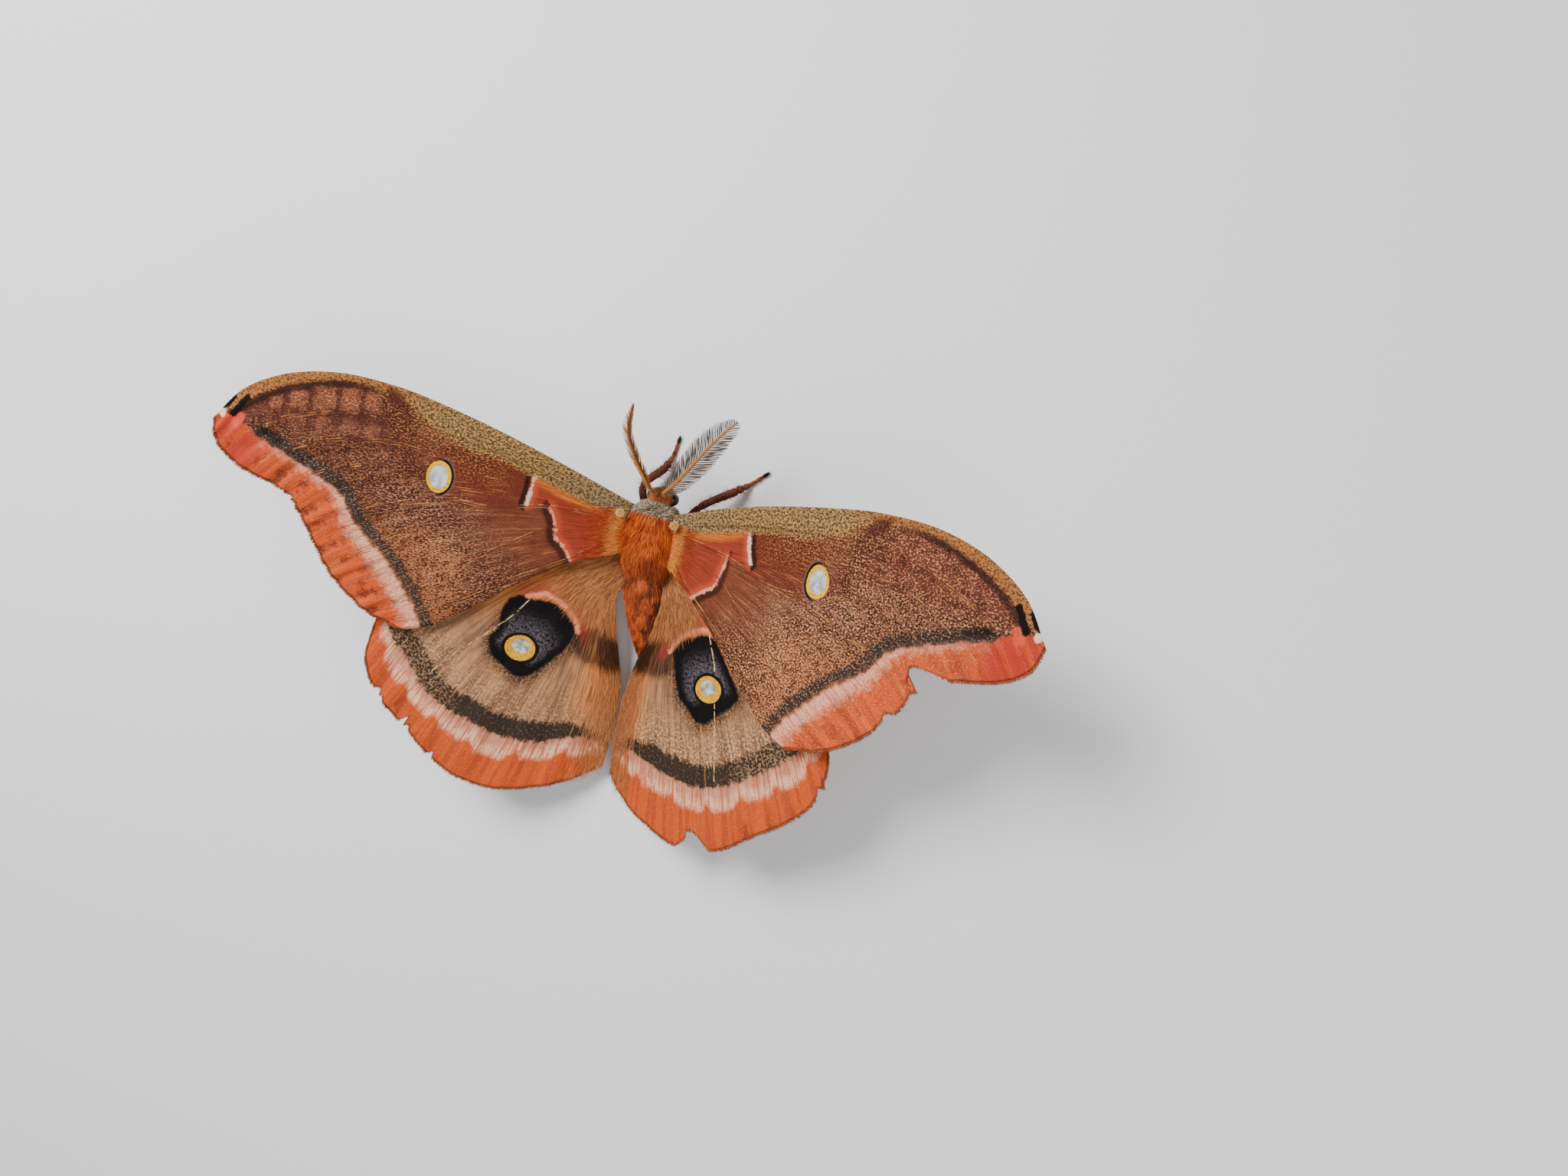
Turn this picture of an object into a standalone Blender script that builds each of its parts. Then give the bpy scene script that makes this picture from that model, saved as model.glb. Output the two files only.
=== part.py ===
"""Male polyphemus moth at life size, standing on the floor with its wings raised and spread.

Metres, +Z up, +Y towards the head, +X to the moth's right. Every size below is in millimetres. The
moth stands on the flats of its six tarsi at z = 0, and the middle of its box is over the origin.
"""

import math

import bmesh
import bpy
import numpy as np

MM = 0.001
GAP = 0.3

# Sections of the body: distance along Y, half width, half height, middle height and sideways shift.
THORAX_RINGS = (
    (2.95, 2.3, 2.0, 7.7, 0.2),
    (2.55, 3.2, 3.0, 7.6, 0.15),
    (1.6, 3.85, 3.8, 7.5, 0.05),
    (-0.6, 4.05, 4.15, 7.4, 0.0),
    (-2.8, 4.05, 4.25, 7.3, 0.0),
    (-4.8, 3.8, 4.0, 7.1, 0.05),
    (-6.5, 3.35, 3.5, 6.8, 0.15),
    (-7.6, 2.9, 3.0, 6.5, 0.25),
)
ABDOMEN_RINGS = (
    (-7.95, 2.85, 2.95, 6.45, 0.3),
    (-9.5, 3.05, 3.05, 6.1, 0.5),
    (-12.5, 3.05, 2.95, 5.4, 1.05),
    (-15.5, 2.75, 2.65, 4.7, 1.75),
    (-18.2, 2.15, 2.1, 4.1, 2.45),
    (-20.0, 1.4, 1.45, 3.75, 2.9),
    (-20.9, 0.6, 0.7, 3.6, 3.1),
)
HEAD_RINGS = (
    (3.28, 1.7, 1.7, 7.7, 0.35),
    (3.7, 1.95, 2.0, 7.65, 0.35),
    (4.3, 2.0, 2.1, 7.6, 0.35),
    (4.9, 1.75, 1.85, 7.5, 0.35),
    (5.4, 1.2, 1.35, 7.4, 0.35),
    (5.7, 0.5, 0.6, 7.35, 0.35),
)
ABDOMEN_SEGMENTS = 7
SEGMENT_GROOVE = 0.16
BODY_SIDES = 24
THORAX_STEPS = 16
HEAD_MIDDLE = 0.35
EYE_PLACE = (1.5, 4.3, 7.5)
EYE_RADIUS = 1.0
PALP_PLACE = (0.5, 5.45, 6.55)
PALP_RADIUS = 0.45

# Wing outlines, flat: distance out along the span and forward of the hinge.
FORE_COSTA = ((10, 6.1), (23, 9.8), (34, 11.9), (42, 12.0), (49, 10.3), (54.5, 7.0), (58.2, 2.2))
FORE_OUTER = (
    (58.2, 2.2),
    (57.5, -0.8),
    (55.4, -2.9),
    (51.5, -4.6),
    (47.5, -5.9),
    (44.2, -9.0),
    (41.5, -13.2),
    (37.9, -17.6),
    (33.2, -21.0),
    (27.8, -22.8),
)
FORE_INNER = ((6, -8.3), (13, -13.1), (19, -17.9), (24.3, -21.7), (27.8, -22.8))
FORE_ROOT = (2.1, -5.2)
HIND_COSTA = ((8, 3.2), (15, 1.6), (22, -1.6), (27, -6.2), (30.5, -12.5))
HIND_OUTER = (
    (30.5, -12.5),
    (32.4, -18.5),
    (32.7, -22.2),
    (31.3, -26.2),
    (28.2, -29.6),
    (24.2, -32.6),
    (18.6, -36.7),
    (12.2, -38.5),
    (7.3, -38.0),
    (2.6, -36.6),
    (-1.2, -34.8),
    (-4.4, -32.2),
)
HIND_INNER_LEFT = ((-1.6, -5.6), (-2.2, -9.7), (-3.8, -15.0), (-5.2, -20.0), (-5.6, -26.0), (-5.2, -32.0))
HIND_INNER_RIGHT = ((0.7, -5.3), (0.4, -8.3), (-1.6, -13.6), (-3.1, -19.5), (-4.0, -26.0), (-4.2, -32.0))
HIND_ROOT = (2.8, -1.4)

# How each wing sits: hinge from the body's middle, bend of the span, twist, sweep and lift of its rear
# root. The lift falls to nothing this far out along the span, and over these reaches behind the hinge.
HINGE_X = {"left": 5.0, "right": 3.6}
FORE_SET = {"y": 0.0, "z": 9.0, "bend": (25.0, 12.0), "span": 66.0, "twist": 8.3, "lift": (0.0, 0.0)}
HIND_SET = {"y": -6.0, "z": 6.1, "bend": (26.0, 6.0), "span": 48.0, "twist": 3.0, "lift": (0.0, 2.7)}
FORE_SWEEP = {"left": 0.0, "right": -1.5}
HIND_SWEEP = {"left": 0.0, "right": 2.1}
LIFT_SPAN = (9.0, 8.0)
LIFT_FRONT = (-1.0, 6.0)
LIFT_REAR = (38.0, 22.0)

# Veins: place across the fan of the wing, and how far out along the wing each one starts.
FORE_VEINS = (
    (0.07, 0.0),
    (0.17, 0.3),
    (0.30, 0.45),
    (0.42, 0.4),
    (0.55, 0.45),
    (0.66, 0.0),
    (0.80, 0.15),
    (0.92, 0.0),
)
HIND_VEINS = (
    (0.08, 0.0),
    (0.20, 0.3),
    (0.32, 0.35),
    (0.44, 0.35),
    (0.56, 0.3),
    (0.68, 0.0),
    (0.80, 0.15),
    (0.92, 0.0),
)
VEIN_WIDTH = 0.018
VEIN_HEIGHT = 0.34
VEIN_GROWTH = 0.12
VEIN_FADE = 0.55
WING_ROWS = 14
MEMBRANE = 0.55
WING_SPACING = 0.9
ROOT_GAP = 0.42
ROOT_PASSES = 6
COSTA_THICK = 0.45
COSTA_WIDTH = 0.2
COSTA_TAPER = 0.7
PLEAT_DEPTH = 0.3
UNDER_VEIN = 0.5

# Torn margins: place across the fan, half width there and depth, drawn back over the outermost reach.
TEAR_REACH = 0.3
TEARS = {
    "forewing_left": ((0.42, 0.05, 0.7),),
    "forewing_right": ((0.46, 0.06, 4.4), (0.58, 0.05, 1.0)),
    "hindwing_left": ((0.3, 0.03, 0.7), (0.43, 0.03, 1.2)),
    "hindwing_right": ((0.61, 0.05, 1.9), (0.22, 0.03, 0.6)),
}

ANTENNA_PATH = {
    "left": (
        (-0.15, 4.45, 10.0),
        (-0.4, 4.7, 10.5),
        (-1.7, 6.5, 11.7),
        (-3.2, 8.9, 13.1),
        (-4.5, 12.2, 14.8),
        (-4.3, 15.8, 16.0),
    ),
    "right": (
        (1.0, 4.45, 10.0),
        (1.25, 4.75, 10.4),
        (2.9, 6.6, 11.1),
        (4.9, 9.4, 12.1),
        (8.3, 14.2, 13.7),
        (10.6, 16.9, 14.3),
    ),
}
ANTENNA_RADIUS = (0.42, 0.27)
ANTENNA_RAYS = 17
RAY_LENGTH = 3.1
RAY_RADIUS = (0.27, 0.1)
RAY_LEAN = 50.0
RAY_BEND = 0.14
RAY_OVERLAP = 0.05
EYE_LINE = (0.32, -0.02, 0.95)

# Legs: where each leaves the thorax, as a place along it and an angle under its side, then its knee,
# its ankle, and the touch-down and toe of its tarsus.
LEG_ROOTS = {"front": (1.1, 60.0), "mid": (-1.4, 48.0), "hind": (-4.4, 52.0)}
LEGS = {
    "front_left": ((-4.6, 5.2, 3.2), (-2.5, 8.9, 1.5), (-2.1, 11.0, 0.32), (-1.8, 13.9, 0.32)),
    "front_right": ((4.9, 4.1, 3.6), (9.4, 8.0, 1.6), (11.0, 9.6, 0.32), (13.2, 11.8, 0.32)),
    "mid_left": ((-7.2, -0.6, 4.0), (-11.4, -2.6, 1.5), (-13.0, -3.6, 0.32), (-15.2, -5.0, 0.32)),
    "mid_right": ((7.6, -1.0, 4.0), (11.4, -3.4, 1.5), (12.8, -4.6, 0.32), (14.6, -6.4, 0.32)),
    "hind_left": ((-6.3, -9.4, 4.0), (-9.0, -15.8, 1.5), (-9.9, -18.0, 0.32), (-11.4, -21.6, 0.32)),
    "hind_right": ((7.3, -8.6, 4.0), (9.9, -15.4, 1.5), (10.7, -18.0, 0.32), (12.0, -21.6, 0.32)),
}
COXA_LENGTH = 1.1
LEG_GAP = 0.34
LEG_RADII = (0.55, 0.6, 0.5, 0.62, 0.32, 0.3)
LEG_SIDES = 8
LEG_STEPS = 5

COLOURS = {
    "fur_red": ((0.42, 0.09, 0.03), 0.8),
    "fur_orange": ((0.38, 0.13, 0.045), 0.8),
    "eye": ((0.012, 0.01, 0.01), 0.15),
    "antenna": ((0.2, 0.1, 0.04), 0.6),
    "wing": ((0.3, 0.12, 0.07), 0.75),
    "leg": ((0.07, 0.025, 0.018), 0.7),
}


def clear_scene():
    for old in list(bpy.data.objects):
        bpy.data.objects.remove(old, do_unlink=True)


def make_materials():
    made = {}
    for name, (colour, roughness) in COLOURS.items():
        material = bpy.data.materials.new(name)
        material.use_nodes = True
        shader = material.node_tree.nodes["Principled BSDF"]
        shader.inputs["Base Color"].default_value = (*colour, 1.0)
        shader.inputs["Roughness"].default_value = roughness
        shader.inputs["Metallic"].default_value = 0.0
        made[name] = material
    return made


def smooth_path(points, places):
    """Points on a Catmull-Rom curve through the given ones, at places from 0 to 1 of its chord length."""
    knots = np.array(points, float)
    steps = np.linalg.norm(np.diff(knots, axis=0), axis=1)
    along = np.concatenate([[0.0], np.cumsum(steps)]) / steps.sum()
    slopes = np.gradient(knots, along, axis=0)
    places = np.clip(np.asarray(places, float), 0.0, 1.0)
    left = np.clip(np.searchsorted(along, places, side="right") - 1, 0, len(knots) - 2)
    width = (along[left + 1] - along[left])[..., None]
    t = (places - along[left])[..., None] / width
    start = (2 * t**3 - 3 * t**2 + 1) * knots[left] + (t**3 - 2 * t**2 + t) * width * slopes[left]
    end = (3 * t**2 - 2 * t**3) * knots[left + 1] + (t**3 - t**2) * width * slopes[left + 1]
    return start + end


def new_object(name, points, faces, material):
    """One node: a mesh from points in millimetres, with its normals turned outwards and smooth shading."""
    mesh = bpy.data.meshes.new(name)
    mesh.from_pydata([tuple(point * MM) for point in np.asarray(points, float)], [], [list(face) for face in faces])
    work = bmesh.new()
    work.from_mesh(mesh)
    bmesh.ops.recalc_face_normals(work, faces=work.faces)
    work.to_mesh(mesh)
    work.free()
    mesh.shade_smooth()
    mesh.set_sharp_from_angle(angle=math.radians(50))
    made = bpy.data.objects.new(name, mesh)
    made.data.materials.append(material)
    bpy.context.scene.collection.objects.link(made)
    return made


def tube_faces(rings, sides):
    """Quads between rings of points that follow one another, closed by a face at each end."""
    faces = [tuple(range(sides))[::-1], tuple((rings - 1) * sides + k for k in range(sides))]
    for ring in range(rings - 1):
        for k in range(sides):
            low = ring * sides + k
            low_next = ring * sides + (k + 1) % sides
            faces.append((low, low_next, low_next + sides, low + sides))
    return faces


def tube_points(path, widths, heights, sides, up=(0.0, 0.0, 1.0)):
    """Rings of points round a path: each ring is an ellipse across the path, as wide and as high as given."""
    ahead = np.gradient(path, axis=0)
    ahead /= np.linalg.norm(ahead, axis=1, keepdims=True)
    side = np.cross(ahead, np.asarray(up, float))
    side /= np.linalg.norm(side, axis=1, keepdims=True)
    top = np.cross(side, ahead)
    turn = np.linspace(0.0, 2 * np.pi, sides, endpoint=False)
    across = np.cos(turn)[None, :, None] * side[:, None, :] * np.asarray(widths)[:, None, None]
    upward = np.sin(turn)[None, :, None] * top[:, None, :] * np.asarray(heights)[:, None, None]
    return (path[:, None, :] + across + upward).reshape(-1, 3)


def body_sections(rings, count):
    """The named sections of a body part, smoothed to a given number of them."""
    return smooth_path(rings, np.linspace(0.0, 1.0, count))


def body_points(sections, sides=BODY_SIDES):
    turn = np.linspace(0.0, 2 * np.pi, sides, endpoint=False)
    y, wide, high, middle, shift = sections.T
    x = shift[:, None] + wide[:, None] * np.cos(turn)
    z = middle[:, None] + high[:, None] * np.sin(turn)
    return np.stack([x, np.repeat(y[:, None], sides, axis=1), z], axis=-1).reshape(-1, 3)


def body_part(name, rings, count, material):
    sections = body_sections(rings, count)
    return new_object(name, body_points(sections), tube_faces(count, BODY_SIDES), material)


def make_abdomen(material):
    """The abdomen tapers to the rear, with a shallow groove between one segment and the next."""
    count = ABDOMEN_SEGMENTS * 3 + 1
    sections = body_sections(ABDOMEN_RINGS, count)
    groove = np.where(np.arange(count) % 3 == 0, SEGMENT_GROOVE, 0.0)
    groove[[0, -1]] = 0.0
    sections[:, 1] -= groove
    sections[:, 2] -= groove
    return new_object("abdomen", body_points(sections), tube_faces(count, BODY_SIDES), material)


def ball(name, middle, radius, material, segments=16, rings=10):
    mesh = bpy.data.meshes.new(name)
    work = bmesh.new()
    bmesh.ops.create_uvsphere(work, u_segments=segments, v_segments=rings, radius=radius * MM)
    bmesh.ops.translate(work, verts=work.verts, vec=[value * MM for value in middle])
    work.to_mesh(mesh)
    work.free()
    mesh.shade_smooth()
    made = bpy.data.objects.new(name, mesh)
    made.data.materials.append(material)
    bpy.context.scene.collection.objects.link(made)
    return made


def apply_boolean(target, others, operation, solver="EXACT"):
    """Joins or cuts the target by the other objects, applies the result and removes them."""
    group = bpy.data.collections.new(target.name + "_operands")
    for other in others:
        group.objects.link(other)
    step = target.modifiers.new("join", "BOOLEAN")
    step.operation = operation
    step.operand_type = "COLLECTION"
    step.collection = group
    step.solver = solver
    graph = bpy.context.evaluated_depsgraph_get()
    result = bpy.data.meshes.new_from_object(target.evaluated_get(graph))
    target.modifiers.clear()
    target.data = result
    for other in others:
        bpy.data.objects.remove(other, do_unlink=True)
    bpy.data.collections.remove(group)


def keep_largest(target):
    """Drops every closed surface of the object but the one with the most volume."""
    work = bmesh.new()
    work.from_mesh(target.data)
    left = set(work.verts)
    shells = []
    while left:
        shell = set()
        front = [left.pop()]
        while front:
            vertex = front.pop()
            shell.add(vertex)
            near = {edge.other_vert(vertex) for edge in vertex.link_edges}
            front.extend(near & left)
            left -= near
        shells.append(shell)
    shells.sort(key=lambda shell: -shell_volume(shell))
    for shell in shells[1:]:
        bmesh.ops.delete(work, geom=list(shell), context="VERTS")
    bmesh.ops.triangulate(work, faces=work.faces)
    work.to_mesh(target.data)
    work.free()


def shell_volume(shell):
    faces = {face for vertex in shell for face in vertex.link_faces}
    total = 0.0
    for face in faces:
        corners = [vertex.co for vertex in face.verts]
        for second, third in zip(corners[1:-1], corners[2:], strict=True):
            total += corners[0].dot(second.cross(third))
    return abs(total) / 6


def paired(place, side):
    """A place given beside the middle of the head, on one side of it or the other."""
    return (HEAD_MIDDLE + side * place[0], *place[1:])


def make_head(materials):
    head = body_part("head", HEAD_RINGS, 12, materials["fur_orange"])
    cutters = [
        ball("socket", paired(EYE_PLACE, side), EYE_RADIUS + GAP, materials["fur_orange"]) for side in (-1, 1)
    ]
    for cutter in cutters:
        cutter.hide_render = True
        cutter.display_type = "WIRE"
    apply_boolean(head, cutters, "DIFFERENCE")
    palps = [ball("palp", paired(PALP_PLACE, side), PALP_RADIUS, materials["fur_orange"], 8, 6) for side in (-1, 1)]
    apply_boolean(head, palps, "UNION")
    keep_largest(head)
    for side, word in ((-1, "left"), (1, "right")):
        ball("eye_" + word, paired(EYE_PLACE, side), EYE_RADIUS, materials["eye"])


def turned(points, axis, degrees):
    """Points turned about one coordinate axis, 0 for X and 2 for Z."""
    angle = math.radians(degrees)
    first, second = (1, 2) if axis == 0 else (0, 1)
    out = np.array(points, float)
    out[..., first] = points[..., first] * math.cos(angle) - points[..., second] * math.sin(angle)
    out[..., second] = points[..., first] * math.sin(angle) + points[..., second] * math.cos(angle)
    return out


def thorax_side(side, y, z):
    """How far the thorax reaches to one side, -1 or 1, at a place along it and a height."""
    rings = body_sections(THORAX_RINGS, THORAX_STEPS)[::-1]
    wide, high, middle, shift = (np.interp(y, rings[:, 0], rings[:, column]) for column in (1, 2, 3, 4))
    share = np.clip((z - middle) / high, -0.98, 0.98)
    return wide * np.sqrt(1 - share**2) + side * shift


def wing_surface(setting, side, sweep, span, chord):
    """Flat wing points bent upwards along the span, twisted, swept and set on the hinge, with their normals.

    The slope falls evenly from the root's to the tip's, so the span is an arc of a circle. A lift near the
    rear of the root carries that corner over the abdomen.
    """
    root, tip = np.radians(setting["bend"])
    rate = (tip - root) / setting["span"]
    slope = root + rate * span
    out = (np.sin(slope) - math.sin(root)) / rate
    up = (math.cos(root) - np.cos(slope)) / rate
    lift = setting["lift"][0 if side == "left" else 1]
    near = np.clip((LIFT_SPAN[0] - span) / LIFT_SPAN[1], 0.0, 1.0)
    behind = np.clip((LIFT_FRONT[0] - chord) / LIFT_FRONT[1], 0.0, 1.0)
    behind = behind * np.clip((LIFT_REAR[0] + chord) / LIFT_REAR[1], 0.0, 1.0)
    up = up + lift * near * near * (3 - 2 * near) * behind * behind * (3 - 2 * behind)
    points = np.stack([out, chord, up], axis=-1)
    normals = np.stack([-np.sin(slope), np.zeros_like(slope), np.cos(slope)], axis=-1)
    points = turned(turned(points, 0, setting["twist"]), 2, sweep)
    normals = turned(turned(normals, 0, setting["twist"]), 2, sweep)
    points = points + np.array([HINGE_X[side], setting["y"], setting["z"]])
    if side == "left":
        flip = np.array([-1.0, 1.0, 1.0])
        return points * flip, normals * flip
    return points, normals


def root_span(setting, side, sweep, chord):
    """Where the root edge stops along the span: its nearest corner is a gap short of the thorax."""
    way = 1 if side == "right" else -1
    half = (MEMBRANE + COSTA_THICK + VEIN_HEIGHT) / 2
    span = np.zeros_like(chord)
    for _ in range(ROOT_PASSES):
        middle, normal = wing_surface(setting, side, sweep, span, chord)
        corners = [middle + normal * half * step for step in (-1, 0, 1)]
        short = [thorax_side(way, place[:, 1], place[:, 2]) + ROOT_GAP - way * place[:, 0] for place in corners]
        span = span + np.max(short, axis=0)
    return span


def fan(root, front, rear, outer, across, outward):
    """A patch stretched between four edge curves: root and outer edge, front and rear edge."""
    low = smooth_path(root, across)[:, None, :]
    high = smooth_path(outer, across)[:, None, :]
    start = smooth_path(front, outward)[None, :, :]
    end = smooth_path(rear, outward)[None, :, :]
    u = across[:, None, None]
    v = outward[None, :, None]
    corners = (1 - u) * (1 - v) * low[:1] + u * (1 - v) * low[-1:] + (1 - u) * v * high[:1] + u * v * high[-1:]
    return (1 - v) * low + v * high + (1 - u) * start + u * end - corners


def vein_columns(veins):
    """Columns of the wing's grid: foot, crest and foot of each vein, and the middle of each panel between."""
    crests = [place for place, _ in veins]
    edges = [0.0, *crests, 1.0]
    middles = [(low + high) / 2 for low, high in zip(edges[:-1], edges[1:], strict=True)]
    feet = [place + step for place in crests for step in (-VEIN_WIDTH, VEIN_WIDTH)]
    return np.array(sorted([0.0, 1.0, *crests, *feet, *middles]))


def vein_height(veins, across, outward):
    """Height of the veins over the membrane: full at each crest past its start, and less towards the margin."""
    height = np.zeros((len(across), len(outward)))
    for place, start in veins:
        column = np.argmin(np.abs(across - place))
        grown = np.clip((outward - start) / VEIN_GROWTH, 0.0, 1.0) if start else np.ones_like(outward)
        height[column] = VEIN_HEIGHT * grown * (1.0 - VEIN_FADE * outward)
    return height


def pleats(veins, across, outward):
    """How far the membrane sags between two veins, growing towards the margin."""
    edges = np.array([0.0, *[place for place, _ in veins], 1.0])
    panel = np.clip(np.searchsorted(edges, across, side="right") - 1, 0, len(edges) - 2)
    share = (across - edges[panel]) / (edges[panel + 1] - edges[panel])
    return PLEAT_DEPTH * np.sin(np.pi * share)[:, None] * np.sqrt(outward)[None, :]


def torn(name, across, outward):
    """How far the margin's rows are drawn back towards the root by the tears, in millimetres."""
    back = np.zeros((len(across), len(outward)))
    for place, half, depth in TEARS[name]:
        share = np.clip(1.0 - np.abs(across - place) / (half + VEIN_WIDTH), 0.0, 1.0)
        back += depth * share[:, None] * np.clip((outward - 1.0) / TEAR_REACH + 1.0, 0.0, 1.0)[None, :] ** 2
    return back


def wing_solid(name, side, setting, sweep, edges, veins, material):
    across = vein_columns(veins)
    outward = np.linspace(0.0, 1.0, WING_ROWS) ** WING_SPACING
    root_chord = np.linspace(*edges["root"], 5)
    root = np.stack([root_span(setting, side, sweep, root_chord), root_chord], axis=-1)
    flat = fan(root, (root[0], *edges["costa"]), (root[-1], *edges["inner"]), edges["outer"], across, outward)
    inward = flat[:, :1] - flat
    inward /= np.maximum(np.linalg.norm(inward, axis=-1, keepdims=True), 0.001)
    flat = flat + inward * torn(name, across, outward)[..., None]
    middle, normal = wing_surface(setting, side, sweep, flat[..., 0], flat[..., 1])
    leading = np.clip(1.0 - across / COSTA_WIDTH, 0.0, 1.0)[:, None] * (1.0 - COSTA_TAPER * outward)[None, :]
    half = (MEMBRANE + COSTA_THICK * leading)[..., None] / 2
    ridge = vein_height(veins, across, outward)[..., None]
    middle = middle - normal * pleats(veins, across, outward)[..., None]
    upper = (middle + normal * (half + ridge)).reshape(-1, 3)
    lower = (middle - normal * (half + UNDER_VEIN * ridge)).reshape(-1, 3)
    faces = sheet_faces(len(across), len(outward))
    return new_object(name, np.concatenate([upper, lower]), faces, material)


def sheet_faces(columns, rows):
    """Triangles of a thin sheet, split alike on both faces, with a rim round its edge."""
    under = columns * rows
    faces = []
    for column in range(columns - 1):
        for row in range(rows - 1):
            a = column * rows + row
            b = a + rows
            faces += [(a, b, b + 1), (a, b + 1, a + 1)]
            faces += [(a + under, b + 1 + under, b + under), (a + under, a + 1 + under, b + 1 + under)]
    first = [column * rows for column in range(columns)]
    last = [column * rows + rows - 1 for column in range(columns)]
    rim = first + list(range(last[-1] - rows + 2, last[-1] + 1)) + last[::-1][1:] + list(range(rows - 2, 0, -1))
    for low, high in zip(rim, rim[1:] + rim[:1], strict=True):
        faces += [(low, low + under, high), (high, low + under, high + under)]
    return faces


def make_wings(materials):
    fore = {"costa": FORE_COSTA, "outer": FORE_OUTER, "inner": FORE_INNER, "root": FORE_ROOT}
    hind = {"costa": HIND_COSTA, "outer": HIND_OUTER, "root": HIND_ROOT}
    inner = {"left": HIND_INNER_LEFT, "right": HIND_INNER_RIGHT}
    for side in ("left", "right"):
        wing_solid("forewing_" + side, side, FORE_SET, FORE_SWEEP[side], fore, FORE_VEINS, materials["wing"])
        edges = {**hind, "inner": inner[side], "outer": (*HIND_OUTER[:-1], inner[side][-1])}
        wing_solid("hindwing_" + side, side, HIND_SET, HIND_SWEEP[side], edges, HIND_VEINS, materials["wing"])


def leg_root(name):
    """The first two points of a leg, square to the thorax and a gap away from it."""
    pair, side = name.split("_")
    way = 1 if side == "right" else -1
    y, angle = LEG_ROOTS[pair]
    rings = body_sections(THORAX_RINGS, THORAX_STEPS)[::-1]
    wide, high, middle, shift = (float(np.interp(y, rings[:, 0], rings[:, column])) for column in (1, 2, 3, 4))
    cosine = math.cos(math.radians(angle))
    sine = math.sin(math.radians(angle))
    foot = np.array([shift + way * wide * cosine, y, middle - high * sine])
    normal = np.array([way * cosine / wide, 0.0, -sine / high])
    normal /= np.linalg.norm(normal)
    return foot + normal * LEG_GAP, foot + normal * COXA_LENGTH


def make_leg(name, joints, material):
    """A leg is one tube from its root through knee and ankle, flat where its tarsus meets the floor."""
    joints = (*leg_root(name), *joints)
    places = np.linspace(0.0, 1.0, (len(joints) - 1) * LEG_STEPS + 1)
    path = smooth_path(joints, places)
    knots = np.array(joints)
    along = np.concatenate([[0.0], np.cumsum(np.linalg.norm(np.diff(knots, axis=0), axis=1))])
    radius = np.interp(places, along / along[-1], LEG_RADII)
    points = tube_points(path, radius, radius, LEG_SIDES)
    points[:, 2] = np.maximum(points[:, 2], 0.0)
    return new_object("leg_" + name, points, tube_faces(len(path), LEG_SIDES), material)


def ray_object(root, aim, bend, length, normal, material):
    """One ray of a feathered antenna, four-sided, tapered and bent a little towards the antenna's tip."""
    share = np.array([0.0, 0.55, 1.0])[:, None]
    path = root + aim * length * share + bend * length * RAY_BEND * share**2
    radius = np.interp(share[:, 0], [0.0, 1.0], RAY_RADIUS)
    points = tube_points(path, radius, radius, 4, up=normal)
    return new_object("ray", points, tube_faces(3, 4), material)


def make_antenna(side, material):
    """A tapered shaft with two rows of rays in one plane; the left plane is turned on edge to the eye."""
    path = smooth_path(ANTENNA_PATH[side], np.linspace(0.0, 1.0, 15))
    radius = np.linspace(*ANTENNA_RADIUS, 15)
    shaft = new_object("antenna_" + side, tube_points(path, radius, radius, 8), tube_faces(15, 8), material)
    eye_line = np.array(EYE_LINE) / np.linalg.norm(EYE_LINE)
    lean = math.radians(RAY_LEAN)
    rays = []
    for number in range(ANTENNA_RAYS):
        place = (number + 1.0) / (ANTENNA_RAYS + 0.6)
        here, near = smooth_path(ANTENNA_PATH[side], [place, place + 0.01])
        ahead = (near - here) / np.linalg.norm(near - here)
        flat = np.cross(ahead, eye_line)
        flat /= np.linalg.norm(flat)
        across = eye_line - ahead * ahead.dot(eye_line) if side == "left" else flat
        across /= np.linalg.norm(across)
        normal = np.cross(ahead, across)
        length = RAY_LENGTH * math.sin(math.pi * place**0.85) ** 0.65
        for way in (-1, 1):
            aim = ahead * math.cos(lean) + way * across * math.sin(lean)
            rays.append(ray_object(here - aim * RAY_OVERLAP, aim, ahead, length, normal, material))
    apply_boolean(shaft, rays, "UNION", "MANIFOLD")
    keep_largest(shaft)
    return shaft


def centre_over_origin():
    """Moves every mesh so that the middle of the whole moth's box is over the origin, with the feet at zero."""
    objects = list(bpy.context.scene.collection.objects)
    corners = np.array([vertex.co for item in objects for vertex in item.data.vertices])
    middle = (corners.min(axis=0) + corners.max(axis=0)) / 2
    for item in objects:
        for vertex in item.data.vertices:
            vertex.co.x -= middle[0]
            vertex.co.y -= middle[1]


def main():
    clear_scene()
    materials = make_materials()
    body_part("thorax", THORAX_RINGS, THORAX_STEPS, materials["fur_red"])
    make_abdomen(materials["fur_orange"])
    make_head(materials)
    make_wings(materials)
    for name, joints in LEGS.items():
        make_leg(name, joints, materials["leg"])
    for side in ("left", "right"):
        make_antenna(side, materials["antenna"])
    centre_over_origin()


if __name__ == "__main__":
    main()
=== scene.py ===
"""Life-size male polyphemus moth: wings, furred body, feathered antennae and legs over its frame.

Sizes below are in millimetres in the body's own frame: x = 0 on the thorax's middle, y = 0 at the forewing
hinge, z = 0 on the floor, +Y towards the head. placed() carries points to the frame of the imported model.
"""

import math

import bpy
import numpy as np
from mathutils import Matrix, Vector


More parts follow.
